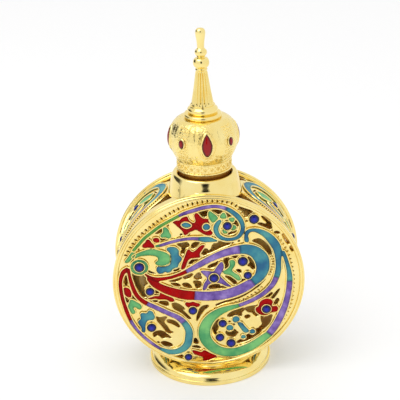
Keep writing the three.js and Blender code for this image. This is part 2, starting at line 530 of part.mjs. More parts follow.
const gasket = solidOf(turned(ring(NECK_RADIUS + GAP, SLEEVE_RADIUS, axisHeight, sleeveBottom)));
add("neck_gasket", geometryOf(gasket.subtract(flaskRoom)), rubber);

// Flask with its threaded neck
class ThreadPath extends THREE.Curve {
  getPoint(share, target = new THREE.Vector3()) {
    const turn = share * THREAD_TURNS;
    const angle = turn * 2 * Math.PI;
    const height = lip - THREAD_SET - (THREAD_TURNS - turn) * THREAD_PITCH;
    return target.set(NECK_RADIUS * Math.cos(angle), NECK_RADIUS * Math.sin(angle), height);
  }
}
const threadSection = new THREE.Shape().absarc(0, 0, THREAD_HEIGHT, 0, 2 * Math.PI);
const thread = new THREE.ExtrudeGeometry(threadSection, {
  extrudePath: new ThreadPath(), steps: THREAD_TURNS * THREAD_STEPS, curveSegments: 3, bevelEnabled: false });
const flaskBody = (radius, half) => drumTurned([
  [0, -half], [radius - FLASK_CHAMFER, -half], [radius, FLASK_CHAMFER - half], [radius, half - FLASK_CHAMFER],
  [radius - FLASK_CHAMFER, half], [0, half]], DRUM_SIDES / 2);
const flaskHollow = joined([flaskBody(flaskRadius - FLASK_WALL, flaskHalf - FLASK_WALL),
  turned(rod(NECK_BORE, axisHeight, lip + GAP), BEAD_SIDES)]);
const flaskOutside = joined([
  flaskBody(flaskRadius, flaskHalf), turned(rod(NECK_RADIUS, axisHeight, lip)), thread]);
add("glass_flask", geometryOf(flaskOutside.subtract(flaskHollow)), glass);

// Foot, its pad and the screw that holds it to the drum
const stepRadius = FOOT_RADIUS - FOOT_STEP;
const recessRadius = FOOT_RADIUS - FOOT_RIM_WIDTH;
const moulding = [0, 22.5, 45, 67.5, 90].map(THREE.MathUtils.degToRad).map((angle) => [
  between(FOOT_CREST_RADIUS, stepRadius, Math.cos(angle)),
  between(FOOT_FLANGE, FOOT_CREST_HEIGHT, Math.sin(angle))]);
const valleyHeight = FOOT_CREST_HEIGHT - FOOT_VALLEY;
const stemTop = axisHeight - Math.sqrt(DRUM_RADIUS ** 2 - FOOT_STEM_RADIUS ** 2);
add("foot", geometryOf(solidOf(turned([
  [0, FOOT_RECESS], [recessRadius, FOOT_RECESS], [recessRadius, 0], [FOOT_RADIUS, 0],
  [FOOT_RADIUS, FOOT_FLANGE], ...moulding,
  [between(FOOT_STEM_RADIUS, FOOT_CREST_RADIUS, 0.45), valleyHeight + 0.3 * FOOT_VALLEY],
  [between(FOOT_STEM_RADIUS, FOOT_CREST_RADIUS, 0.15), valleyHeight],
  [FOOT_STEM_RADIUS, valleyHeight], [FOOT_STEM_RADIUS, stemTop], [0, stemTop]],
  DRUM_SIDES)).subtract(scribe).subtract(screwHole)), gold);
const padBottom = FOOT_RECESS - FOOT_PAD_THICKNESS;
add("foot_pad", turned(ring(SCREW_HEAD_RADIUS + GAP, recessRadius - GAP, padBottom, FOOT_RECESS)), felt);
const nutBase = axisHeight - wallInside + GAP;
const nutTop = nutBase + NUT_HEIGHT;
add("foot_screw", turned([
  [0, FOOT_RECESS - SCREW_HEAD_HEIGHT], [SCREW_HEAD_RADIUS, FOOT_RECESS - SCREW_HEAD_HEIGHT],
  [SCREW_HEAD_RADIUS, FOOT_RECESS], [SCREW_RADIUS, FOOT_RECESS], [SCREW_RADIUS, nutTop + SCREW_END],
  [0, nutTop + SCREW_END]], BEAD_SIDES), steel);
const nutShape = new THREE.Shape().absellipse(0, 0, NUT_RADIUS, NUT_RADIUS, 0, 2 * Math.PI);
const nutOutline = shapeOf(nutShape.getPoints(3).map(({ x, y }) => [x, y]));
nutOutline.holes = [new THREE.Path().absarc(0, 0, SCREW_RADIUS + SLIP, 0, 2 * Math.PI)];
add("foot_nut", plate(nutOutline, nutBase, nutTop, BEAD_SIDES), steel);

// Cushion between the flask and the bottom of the drum
const cushionBlock = new THREE.BoxGeometry(CUSHION_WIDTH, CUSHION_DEPTH, flaskRadius)
  .translate(0, 0, axisHeight - wallInside);
add("flask_cushion", geometryOf(solidOf(cushionBlock)
  .intersect(solidOf(drumTurned(rod(wallInside - GAP, -crest, crest))))
  .subtract(flaskRoom).subtract(solidOf(turned(rod(NUT_RADIUS + GAP, 0, axisHeight), BEAD_SIDES)))), rubber);

// Crown: a band and a dome, with a bezel for each stone
const bandInside = INSERT_RADIUS + GAP;
add("crown_band", turned([
  [bandInside, capBottom], [BAND_RADIUS, capBottom], [BAND_RADIUS, capBottom + BAND_BEAD],
  [BAND_RADIUS - BAND_GROOVE, capBottom + BAND_BEAD + BAND_GROOVE],
  [BAND_RADIUS - BAND_GROOVE, bandTop - BAND_BEAD - BAND_GROOVE], [BAND_RADIUS, bandTop - BAND_BEAD],
  [BAND_RADIUS, bandTop], [bandInside, bandTop], [bandInside, capBottom]]), gold);

// The dome's outline from the band up. A stand moves it outwards.
const domeLine = (waist, radius, top, ceiling, stand = 0) => [
  ...[0, 0.3, 0.65].map((share) =>
    [waist + stand + (radius - waist) * Math.sin((share * Math.PI) / 2), between(bandTop, belly, share)]),
  ...[0, 0.35, 0.65, 0.88, 1].map((share) =>
    [top + stand + (radius - top) * Math.sqrt(1 - share ** 2), between(belly, ceiling, share)])];
const outerLine = (stand) => domeLine(BAND_RADIUS, DOME_RADIUS, DOME_TOP_RADIUS, domeTop, stand);
const innerLine = domeLine(
  bandInside, DOME_RADIUS - CAP_WALL, DOME_TOP_RADIUS - CAP_WALL, domeTop - CAP_WALL);
const studHole = STUD_RADIUS + SLIP;
const dome = solidOf(turned([
  ...outerLine(0), [studHole, domeTop], [studHole, domeTop - CAP_WALL], ...innerLine.reverse(),
  [BAND_RADIUS, bandTop]]));
const swollenDome = (stand) => solidOf(turned([[0, bandTop], ...outerLine(stand), [0, domeTop]]));

// A crown stone's outline: round, or drawn to a point above when it is a drop
const stoneShape = (width, height, margin, isDrop) => {
  const across = width / 2 + margin;
  const up = height / 2 + margin;
  const shape = new THREE.Shape();
  if (!isDrop) return shape.absellipse(0, 0, across, up, 0, 2 * Math.PI);
  shape.moveTo(0, up);
  shape.bezierCurveTo(-0.7 * across, 0.6 * up, -1.4 * across, -0.5 * up, -0.55 * across, -0.88 * up);
  shape.quadraticCurveTo(0, -1.12 * up, 0.55 * across, -0.88 * up);
  shape.bezierCurveTo(1.4 * across, -0.5 * up, 0.7 * across, 0.6 * up, 0, up);
  return shape;
};
const seatDepth = DOME_RADIUS - CROWN_STONE_SINK;
const outsideDome = DOME_RADIUS + 1;
const bezels = [];
const seats = [];
const kinds = [
  { name: "large_stone", width: LARGE_STONE_WIDTH, height: LARGE_STONE_HEIGHT, isDrop: true, start: 0 },
  { name: "small_stone", width: SMALL_STONE_WIDTH, height: SMALL_STONE_HEIGHT, isDrop: false,
    start: 180 / STONE_COUNT },
];
for (const { name, width, height, isDrop, start } of kinds) {
  for (let i = 0; i < STONE_COUNT; i++) {
    const turn = THREE.MathUtils.degToRad(CROWN_TURN + start + (i * 360) / STONE_COUNT);
    const onCrown = (margin, low, high) => plate(
      stoneShape(width, height, margin, isDrop), low, high, isDrop ? 3 : 8)
      .rotateX(Math.PI / 2).translate(0, 0, belly + STONE_RISE).rotateZ(turn);
    bezels.push(onCrown(CROWN_BEZEL_WIDTH, DOME_RADIUS - CAP_WALL, outsideDome));
    seats.push(onCrown(0, seatDepth, outsideDome));
    const stoneBody = solidOf(onCrown(-GAP / 2, seatDepth, outsideDome))
      .intersect(swollenDome(CROWN_STONE_STAND));
    add(`${name}_${i + 1}`, geometryOf(stoneBody), ruby);
  }
}
const bezelRims = joined(bezels).intersect(swollenDome(CROWN_BEZEL_STAND));
add("crown_dome", geometryOf(dome.add(bezelRims).subtract(joined(seats))), gold);

// Spire, threaded on its stud
const bead = (low, high, points, sides) => turned([[studHole, low],
  ...points.map(([radius, share]) => [radius, between(low, high, share)]),
  [studHole, high], [studHole, low]], sides);
add("lower_ring", bead(domeTop, lowerRingTop, [
  [0.93 * LOWER_RING_RADIUS, 0], [LOWER_RING_RADIUS, 0.3], [LOWER_RING_RADIUS, 0.7],
  [0.93 * LOWER_RING_RADIUS, 1]]), gold);
add("upper_ring", bead(lowerRingTop, upperRingTop, [
  [0.94 * UPPER_RING_RADIUS, 0], [UPPER_RING_RADIUS, 0.25], [UPPER_RING_RADIUS, 0.55],
  [between(CONE_RADIUS, UPPER_RING_RADIUS, 0.45), 1]]), gold);
const cone = bead(upperRingTop, coneTop, [
  [CONE_RADIUS, 0], [between(CONE_TOP_RADIUS, CONE_RADIUS, 0.42), 0.5], [CONE_TOP_RADIUS, 1]],
2 * CONE_FLUTES);
const conePlaces = cone.attributes.position;
const pointsPerSide = conePlaces.count / (2 * CONE_FLUTES + 1);
for (let i = 0; i < conePlaces.count; i++) {
  const radius = Math.hypot(conePlaces.getX(i), conePlaces.getY(i));
  const isFlute = Math.floor(i / pointsPerSide) % 2 === 1 && radius > studHole + FLUTE_DEPTH;
  const scale = isFlute ? 1 - FLUTE_DEPTH / radius : 1;
  conePlaces.setXY(i, conePlaces.getX(i) * scale, conePlaces.getY(i) * scale);
}
add("spire_cone", cone, gold);
add("large_bead", bead(coneTop, largeBeadTop, [
  [CONE_TOP_RADIUS, 0], [CONE_TOP_RADIUS, 0.15], [0.86 * LARGE_BEAD_RADIUS, 0.32], [LARGE_BEAD_RADIUS, 0.55],
  [0.86 * LARGE_BEAD_RADIUS, 0.78], [0.5 * LARGE_BEAD_RADIUS, 1]], BEAD_SIDES), gold);
add("small_bead", bead(largeBeadTop, smallBeadTop, [
  [0.5 * LARGE_BEAD_RADIUS, 0], [0.86 * SMALL_BEAD_RADIUS, 0.28], [SMALL_BEAD_RADIUS, 0.55],
  [0.84 * SMALL_BEAD_RADIUS, 0.8], [TIP_WAIST_RADIUS, 1]], BEAD_SIDES), gold);
const studTop = smallBeadTop + STUD_IN_TIP;
add("tip", turned([
  [studHole, smallBeadTop], [TIP_WAIST_RADIUS, smallBeadTop],
  [between(TIP_WAIST_RADIUS, TIP_RADIUS, 0.4), between(smallBeadTop, tipTop, 0.4)],
  [TIP_RADIUS, between(smallBeadTop, tipTop, 0.75)], [0.8 * TIP_RADIUS, between(smallBeadTop, tipTop, 0.93)],
  [0.4 * TIP_RADIUS, tipTop], [0, tipTop], [0, studTop + GAP], [studHole, studTop + GAP],
  [studHole, smallBeadTop]],
  BEAD_SIDES), gold);
add("spire_stud", turned(rod(STUD_RADIUS, insertTop + GAP, studTop), BEAD_SIDES), steel);

// Inside of the cap
const socketRadius = ROD_RADIUS + SLIP;
const socketTop = linerTop + ROD_SOCKET + SLIP;
add("threaded_insert", turned([
  [0, insertTop], [0, socketTop], [socketRadius, socketTop], [socketRadius, linerTop], [boreRadius, linerTop],
  [boreRadius, capBottom + GAP], [INSERT_RADIUS, capBottom + GAP], [INSERT_RADIUS, insertTop],
  [0, insertTop]]), plastic);
add("sealing_liner", turned(ring(socketRadius, boreRadius - SLIP, lip, linerTop)), rubber);
const rodEnd = lip - ROD_DEPTH;
add("applicator_rod", turned([
  [0, rodEnd], [0.7 * ROD_TIP_RADIUS, between(rodEnd, rodEnd + ROD_TIP_LENGTH, 0.12)],
  [ROD_TIP_RADIUS, between(rodEnd, rodEnd + ROD_TIP_LENGTH, 0.45)],
  [0.8 * ROD_TIP_RADIUS, between(rodEnd, rodEnd + ROD_TIP_LENGTH, 0.78)],
  [ROD_RADIUS, rodEnd + ROD_TIP_LENGTH],
  [ROD_RADIUS, linerTop + ROD_SOCKET], [0, linerTop + ROD_SOCKET]], BEAD_SIDES), glass);

export default bottle;
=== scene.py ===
"""An enamelled gilt oil bottle: looks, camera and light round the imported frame.

Sizes and drawings are in millimetres and become metres in a mesh. +Z is up, the front faces -Y.
"""
import math

import bpy
import numpy as np
from mathutils import Matrix, Vector
from mathutils.geometry import delaunay_2d_cdt


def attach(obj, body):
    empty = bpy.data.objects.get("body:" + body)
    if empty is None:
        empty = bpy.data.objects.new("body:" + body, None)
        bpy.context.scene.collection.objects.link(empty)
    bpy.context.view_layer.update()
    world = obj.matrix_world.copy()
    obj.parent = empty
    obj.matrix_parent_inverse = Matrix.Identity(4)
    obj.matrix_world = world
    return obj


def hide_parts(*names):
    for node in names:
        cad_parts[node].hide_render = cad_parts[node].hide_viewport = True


MM = 0.001

# Camera, fitted to the photograph's view
CAMERA_DISTANCE = 365
CAMERA_HEIGHT = 218.2
CAMERA_AZIMUTH = math.radians(-1.06)
CAMERA_PITCH = math.radians(23.74)
CAMERA_YAW = math.radians(0.28)
CAMERA_ROLL = math.radians(-1.94)
FOCAL_PIXELS = 1230
FRAME_PIXELS = 400
SENSOR_WIDTH = 36

# Light. A dark place of the sky, which the gold mirrors, is its direction, the angle up to which it is full,
# the angle where it ends, and its darkness.
WORLD_STRENGTH = 0.95
FLOOR_LIFT = 0.12
DARK_PLACES = [
    ((0, -0.9, 0.42), 9, 16, 0.93),
    ((0, -0.97, 0.2), 8, 14, 0.93),
    ((-0.92, 0.4, 0.12), 16, 30, 0.93),
]

# Colours of the metal
GOLD_PALE = (0.97, 0.81, 0.35)
GOLD_DEEP = (0.93, 0.72, 0.24)
# dull brass used as painted shade down the cut edges and over the backs of the openwork
PAINTED_SHADE_BRASS = (0.92, 0.60, 0.15)

# Drum
AXIS_HEIGHT = 33.8
DRUM_RADIUS = 31
RIM_BACK = 9.6
RIM_STEP = 11.3
RIM_CREST = 13
RIM_INSIDE = 29.6
SKIRT_RADIUS = 30.2
PANEL_FACE = 12.1
PANEL_BACK = 10.7
PANEL_RADIUS = 29.8
DRAWING_RISE = 0.6
WALL_RADIUS = 29.8
WALL_INSIDE = 28.3
WALL_HALF = 10.4
WALL_GAP = 0.15

# Enamel work, as heights above the panel or the wall
WIRE_RADIUS = 0.26
WIRE_HEIGHT = 0.38
ENAMEL_EDGE = 0.47
ENAMEL_DIP = 0.1
ENAMEL_LOW = -0.2
ENAMEL_BEVEL = 0.25
LEAF_DROP = 0.05
PLATE_BEVEL = 0.2
STONE_TOP = 1.12
BEZEL_WIDTH = 0.32

# Wires thinner than those of a panel's scrolls
LEAF_WIRE_RADIUS = 0.84 * WIRE_RADIUS
WALL_WIRE_RADIUS = 0.8 * WIRE_RADIUS
WALL_LEAF_WIRE_RADIUS = 0.7 * WIRE_RADIUS

# Steps between the points of a border or a wire, and between the points inside a plate or a field of enamel
BORDER_STEP = 0.4
WALL_BORDER_STEP = 0.5
WIRE_STEP = 0.34
PANEL_GRID = 0.9
WALL_GRID = 1.0
PANEL_ENAMEL_GRID = 0.5
WALL_ENAMEL_GRID = 0.6

# How far an outline is moved outwards from its drawing
SCROLL_MARGIN = 0.2
LEAF_MARGIN = 0.24
INLAY_MARGIN = 0.25
HOLE_MARGIN = 0.12
STONE_MARGIN = 0.2

# Neck and foot. The collar is bent onto the drum below COLLAR_BEND, the foot is cut to it above FOOT_SEAT.
SLEEVE_RADIUS = 8.1
SLEEVE_BORE = 6.2
SLEEVE_BOTTOM = 59.2
SLEEVE_TOP = 69.2
COLLAR_LOW = 61
COLLAR_BEND = 66
FOOT_SEAT = 5.2
SCREW_HOLE = 1.55
NECK_HOLE = 8.4

# Cap. Lobes and ribs are in degrees from the middle of a large stone.
BAND_LOW = 69.5
BAND_HIGH = 73.2
BAND_RADIUS = 8.8
BAND_INSIDE = 7.6
BELLY = 79.5
DOME_RADIUS = 10.8
DOME_TOP = 86.5
DOME_TOP_RADIUS = 6.6
CAP_WALL = 1.6
CROWN_TURN = 4.4
STONE_MIDDLE = BELLY + 0.9
LOBE_EDGE = 20
RIB_EDGE = 32

# Florets round the band, and the specks chased between two ribs. Their pitch is in degrees.
BAND_FLORETS = 24
SPECK_ROWS = 13
SPECKS_IN_ROW = 8
SPECK_PITCH = 3.1

# Spire
STUD_HOLE = 0.75
LOWER_RING_TOP = 87.9
UPPER_RING_TOP = 90.5
CONE_TOP = 101.7
LARGE_BEAD_TOP = 106.0
SMALL_BEAD_TOP = 108.8
TIP_TOP = 115.1
REEDS = 16
REED_DEPTH = 0.42

# Drawings of a panel, seen from the front, across and up from the drum's axis. A chain is a run of scrolls:
# the piece that a scroll belongs to, then across, up and width of points along its middle. A further scroll
# goes on from the last point of the one before.
CHAINS = [
    [("paisley_red", [
        (-20.6, 3.8, .5), (-19, 2.5, .9), (-17, 1.6, 1.4), (-15, 1.6, 1.3), (-12.3, 2, 1.1), (-9.7, 2.8, 1.2),
        (-7.1, 3.9, 1.45)]),
     ("paisley_violet_upper", [
        (-4, 5.5, 1.9), (-1, 7.2, 2.1), (2, 8.7, 2.3), (5, 9.9, 2.6), (8, 10.7, 2.8), (10.2, 11, 3.15)]),
     ("paisley_blue", [
        (12.5, 11, 3.5), (15, 10, 4), (16.9, 7.8, 4.6), (17.5, 5.3, 4.3), (17.3, 3.2, 4), (16.2, .9, 3.3),
        (14.2, -.8, 3.05)]),
     ("paisley_violet_lower", [
        (12, -2.3, 3.4), (9, -3.8, 3.5), (5, -5, 3.5), (0, -5.35, 3.4), (-4.7, -4.95, 3.35)]),
     ("paisley_red", [
        (-8.5, -4.4, 3.4), (-12, -3.2, 3), (-15, -1.8, 2.6), (-17.6, 0, 2.2), (-19.6, 2.4, 1.2)])],
    [("crest_line", [
        (-24, 11.8, .8), (-22, 14.1, .95), (-20, 16.3, .95), (-17.5, 18.3, .95), (-15, 20.2, .95),
        (-12, 21.9, .95), (-8.8, 23.6, .95)]),
     ("crest_violet", [
        (-7, 24.4, 1.2), (-4, 25.3, 1.3), (-1, 26.1, 1.3), (2, 26.4, 1.2), (4, 26.2, 1.2), (6.2, 25.5, 1.3)]),
     ("crest_blue", [
        (8, 24.3, 1.5), (9.9, 22.5, 1.6), (11, 20.5, 1.4), (11.3, 18.5, 1.3), (10.7, 16.6, 1.3),
        (9.3, 15.2, 1.2), (7.2, 14.7, 1.2), (5.2, 15, 1.3), (3.6, 16.1, 1.3), (2.8, 17.8, 1.5),
        (2.9, 19.5, 1.6), (3.8, 21, 1.3), (4.6, 21.7, .7)])],
    [("rib_blue", [
        (3.3, 14.4, .5), (2.2, 14.5, 1), (.8, 14.9, 1.8), (-1, 15.1, 1.9), (-2.9, 15.35, 1.3)]),
     ("rib_violet", [
        (-5, 15.5, 1.2), (-8, 15.3, 1.1), (-11, 14.7, 1.1), (-13.5, 14, 1.1), (-15.3, 13.5, 1)]),
     ("rib_green", [
        (-16.8, 13.3, .8)])],
    [("hook_blue", [
        (12.5, 13.2, .6), (12.5, 13.7, 1.2), (12.4, 14.6, 1.5), (12.3, 15.9, 1.1), (12.9, 17.2, 1.3),
        (14.8, 17.7, 1.2), (17.3, 16.8, 1.8), (19.4, 15.2, 2.4), (21.2, 12.8, 2.8), (22.3, 10.2, 2.5),
        (22.5, 6, 1.7), (22.4, 3, 1.8), (21.8, .6, 1.8)]),
     ("rib_violet", [
        (20.6, -2, 1.7), (18.5, -4.4, 1.6), (16, -6.3, 1.5), (13, -7.9, 1.5), (9.6, -9.2, 1.4)]),
     ("hook_green", [
        (6.5, -10, 1.9), (3.3, -11.2, 2.6), (.5, -13.2, 3.2), (-1.3, -15.8, 3.6), (-2, -18.5, 3.8),
        (-1.6, -21.3, 3.7), (0, -23.8, 3.5), (2.4, -25.7, 3.3), (5.2, -26.6, 3.2), (8.3, -26.6, 3.2),
        (12, -25.4, 3.1), (15, -23.6, 2.9), (17.6, -21.6, 2.6), (19.3, -20.2, 2.4)]),
     ("hook_violet", [
        (21.5, -17, 2.4), (23.2, -13.5, 2.3), (24.7, -9.5, 2), (25.7, -5, 1.8), (26.1, -1, 1.8)]),
     ("hook_blue", [
        (26, 2, 1.5), (25.3, 5.5, 1.2), (24.4, 8.6, 1.1), (23.8, 10, 1)])],
    [("corner_red", [
        (-25.6, 6, 1), (-27.3, 4.6, 1.4), (-28.3, 2, 1.1), (-28.5, -1, 1.1), (-28.1, -5, 1.1),
        (-27, -9.7, 1.2), (-25.9, -13.1, 1.1)]),
     ("rib_violet", [
        (-25, -15.2, 1.2), (-23.9, -17.2, 1.3), (-22.4, -19.2, 1.4), (-20.6, -21.1, 1.4), (-18.7, -22.9, 1.5),
        (-16.9, -24.4, 1.7)]),
     ("corner_blue", [
        (-14.5, -25.4, 1.9), (-12.5, -25.7, 2), (-10.7, -25.4, 2.2), (-8.8, -24.3, 2.4), (-7.6, -22.7, 2.5),
        (-7.1, -20.2, 2.5), (-7.1, -17.6, 2.3), (-8.6, -14.6, 2)]),
     ("rib_violet", [
        (-10.7, -12.6, 1.8), (-13.8, -10.9, 1.7), (-17, -9, 1.6), (-20.2, -7.2, 1.6)]),
     ("corner_red", [
        (-22.5, -5.3, 1.4), (-23.9, -3, 1.3), (-24.8, 0, 1.2), (-25.4, 3, 1), (-25.7, 5.9, 1)])],
]

# Leaves and flowers, as outlines
LEAVES = {
    "crest_green": [
        [(-26.6, 8.3), (-25.6, 9.6), (-24.6, 11.1), (-23.7, 11.9), (-23.2, 11), (-23.6, 9.9), (-24.6, 9),
         (-25.4, 8.1), (-26.3, 7.8)],
        [(-24.3, 9.9), (-22.5, 11), (-20.5, 11.8), (-18, 12.4), (-16, 11.9), (-13.8, 11.1), (-12.4, 10),
         (-12.2, 8.2), (-12.8, 6.9), (-14.5, 6.3), (-16.2, 6.6), (-17, 7.5), (-16.2, 8), (-15.8, 8.9),
         (-16.5, 9.8), (-18.5, 10.2), (-20.5, 10.2), (-22.3, 9.9), (-23.2, 9.3)],
        [(-24.9, 6.1), (-24.1, 8), (-22.1, 8.8), (-20.1, 8), (-19.3, 6.1), (-20.1, 4.2), (-22.1, 3.4),
         (-24.1, 4.2)]],
    "leaf_green": [
        [(.8, 24.9), (1.9, 24.1), (2.9, 23.2), (3.5, 22.3), (2.9, 21.4), (1.9, 20.8), (1, 22), (.5, 23.4)],
        [(4.1, 22.6), (4.7, 23.7), (5.4, 24.2), (6, 23.2), (6.1, 22.2), (5, 22.1)],
        [(6.9, 22.1), (7.9, 22.3), (8.8, 22.3), (8.6, 21.4), (8.1, 20.7), (7.2, 21.4)],
        [(7.9, 19.4), (8.6, 19.7), (9.3, 18.8), (8.7, 18.1), (7.8, 17.9)],
        [(4.8, 18.4), (5.7, 17.8), (6.4, 17.4), (6.1, 16.8), (5.1, 17.1)],
        [(-13.7, 19.9), (-12.9, 19.7), (-12.2, 18.8), (-12.1, 17.9), (-11.6, 17.3), (-11.6, 16.5),
         (-12.1, 15.8), (-12.8, 16.2), (-13.4, 16.4), (-14.4, 16.3), (-14.9, 17), (-14.3, 17.7),
         (-13.8, 18.3), (-13.9, 19.2)],
        [(6.8, 7.1), (8, 7.4), (8.6, 6.6), (8.3, 5.1), (7.4, 3.7), (8.6, 2.5), (9.7, 1.7), (10.3, .2),
         (9.5, -.1), (8.5, .8), (7, 2), (5.2, 2.5), (4.7, 3.4), (5.9, 4.1), (7, 5.4)],
        [(-25.6, -5.5), (-24.6, -5.8), (-23.5, -6.6), (-22.4, -7.4), (-22.1, -8.6), (-22.7, -9.2),
         (-23.6, -8.7), (-24.6, -8.1), (-24.9, -8.8), (-24.3, -9.9), (-24.6, -10.8), (-25.4, -10.6),
         (-25.9, -9.3), (-26.4, -8), (-26.3, -7.2), (-25.8, -6.5)]],
    "leaf_red": [
        [(-10.9, 21.6), (-9.8, 22.1), (-8.6, 21.9), (-8, 22.8), (-6.9, 23.2), (-6.2, 23.3), (-5.9, 22.3),
         (-5.2, 21.4), (-4.4, 20.9), (-3.5, 21.2), (-3.6, 22.3), (-3.9, 23.6), (-3.4, 24.5), (-2.7, 24),
         (-1.9, 22.9), (-.8, 22.2), (.3, 22.3), (.4, 21.3), (.9, 20.6), (1, 19), (.9, 18.2), (1.6, 17.6),
         (1.6, 16.9), (.9, 16.4), (-.3, 16.6), (-1.6, 17.3), (-2.6, 18.1), (-3.6, 18.7), (-4.6, 18.2),
         (-5.5, 18), (-6.2, 17.3), (-6.9, 16.8), (-7.4, 17.1), (-7.6, 18), (-8.4, 19.1), (-9.5, 20.2),
         (-10.2, 21)],
        [(-20.8, 13.6), (-20.4, 14.4), (-19.7, 14.7), (-19.5, 15.5), (-18.9, 15.9), (-18.2, 15.4),
         (-17.9, 14.6), (-17.1, 13.9), (-16.8, 13), (-17.5, 12.6), (-18.2, 13), (-19.3, 13), (-20.3, 12.9)],
        [(-17.3, 15.9), (-16.6, 16.3), (-15.7, 16.2), (-15.3, 15.5), (-15.4, 14.7), (-16.3, 14.6), (-17, 15)],
        [(-8.7, 4.7), (-8.6, 5.8), (-8.1, 7.3), (-7.5, 8.9), (-7, 10.3), (-6.5, 11.5), (-5.9, 11.9),
         (-5.5, 11), (-4.9, 10.7), (-3.9, 11.3), (-2.8, 12.4), (-1.9, 13.1), (-.9, 13), (-1.6, 11.9),
         (-2.3, 10.8), (-2.8, 9.9), (-2.4, 8.9), (-3.1, 8.8), (-4.3, 8.6), (-5.6, 8.6), (-6.5, 7.9),
         (-7, 6.6), (-7.5, 5.3), (-8.1, 4.8)],
        [(15.1, -10.3), (16.1, -9.8), (16.3, -8.5), (17.3, -7.5), (18.8, -7.1), (20.1, -7.5), (20.6, -8.6),
         (20, -9.5), (20.5, -10.1), (21.7, -9.9), (22.3, -10.8), (21.9, -11.9), (20.9, -12.2), (19.9, -12.3),
         (18.7, -13.1), (17.2, -13.1), (16, -12.5), (15.1, -11.5)],
        [(-27.4, -1), (-26.3, -1.1), (-25.7, -1.6), (-25.2, -3), (-25.3, -4.3), (-25.9, -4.7), (-26.7, -4.2),
         (-27.4, -3.2), (-27.5, -2)],
        [(-20, -5.3), (-18.5, -4.9), (-17.6, -4.5), (-16, -4.6), (-15.9, -3.3), (-15, -3.4), (-13.4, -4.3),
         (-12.2, -5), (-11.3, -6.6), (-12.6, -6.9), (-13.4, -6.2), (-14.5, -5.9), (-16, -5.9), (-17.5, -5.5),
         (-19, -5.7)],
        [(-7.6, -7.2), (-6.4, -7.5), (-5.4, -7.1), (-4.3, -7.7), (-3.1, -8), (-3.5, -9), (-4.5, -9.2),
         (-5.4, -8.9), (-6.5, -9.2), (-7.4, -8.8), (-7.9, -8)],
        [(-6.1, -25.2), (-4.6, -25.7), (-3, -26.2), (-2.4, -25.4), (-1.3, -26), (.3, -27), (1.9, -28),
         (.3, -28.9), (-1.7, -29.6), (-3, -29.4), (-2.4, -28.4), (-4, -27.6), (-5.7, -26.6)]],
    "leaf_blue": [
        [(-13, 12.5), (-11.8, 12.9), (-10.2, 12.6), (-9.3, 11.5), (-9.4, 10.4), (-9.4, 9.8), (-8.5, 9),
         (-8.6, 7.9), (-9.4, 7.1), (-9.7, 6.2), (-9.9, 5.5), (-10.8, 5.3), (-11.6, 5), (-12.1, 4.1),
         (-13.1, 3.7), (-14, 4.2), (-14.9, 3.5), (-15.8, 3.5), (-16.5, 4.3), (-16.6, 5.2), (-16.2, 6.1),
         (-14.9, 5.8), (-13.5, 6), (-12.2, 6.6), (-11.8, 8), (-11.8, 9.8), (-12.2, 11), (-13, 11.8)],
        [(-19.8, -9.7), (-18.7, -10.2), (-18.4, -11), (-18, -12), (-18.3, -13), (-19.3, -13.4),
         (-20.5, -13.5), (-21, -14.3), (-21.3, -15.5), (-21.3, -16.8), (-21.7, -18), (-22.5, -17.4),
         (-22.4, -16.2), (-22.9, -15.2), (-23.5, -14.2), (-23.3, -13.3), (-22.4, -12.8), (-22.6, -11.6),
         (-22.5, -10.7), (-21.5, -10.6), (-20.8, -10.9), (-20.2, -10.5)],
        [(9, -15.7), (10.3, -15.6), (11.3, -17), (12.7, -18.8), (12.3, -19.5), (11.1, -19.3), (10, -17.6)]],
    "leaf_violet": [
        [(4.4, 6.9), (4.9, 5), (4.2, 3.2), (3.6, 1.9), (4.6, .6), (6, -1), (7.4, -2.4), (5.6, -1.9),
         (3.9, -.9), (2.6, -.5), (1, -.6), (-.3, -1.2), (-.7, -2.2), (-1.8, -3.5), (-1.9, -2.2), (-1.4, -.6),
         (-.6, .6), (-.4, 1.4), (-1.4, 2.4), (-2.5, 3.9), (-.9, 3.9), (.8, 3.6), (1.8, 3.5), (2.4, 4.6),
         (3.3, 5.9)]],
}

# Small blue inlays of the flowers, as across, up and radius, and one lozenge
INLAYS = [(-.2, 19.4, 1.35), (8.5, -14.3, 1.4), (6.4, -17.4, 1.35), (13.8, -19.1, 1.15), (10.8, -21, 1)]
LOZENGE = [(-8.1, 20.5), (-7, 21.2), (-5.9, 20.9), (-5, 20.1), (-6.2, 19.4), (-7.3, 19.7)]

# Blue round stones, as across, up and radius
STONES = [
    (6.4, 19.5, 1.4), (14.9, 21.5, 1.55), (-22.1, 6.1, 1.6), (11.1, 6.8, 1.6), (12.6, 1.7, 1.3),
    (1.7, 1.2, 1.5), (-19.1, -2.8, 1.4), (-5.5, -10.4, 1.4), (-19.2, -16.1, 1.5), (4.1, -15.6, 1.35),
    (3.1, -20.8, 1.4), (6.7, -23.1, 1.5), (18.5, -10.9, 1.45), (-7.5, -27.8, 1.25),
]

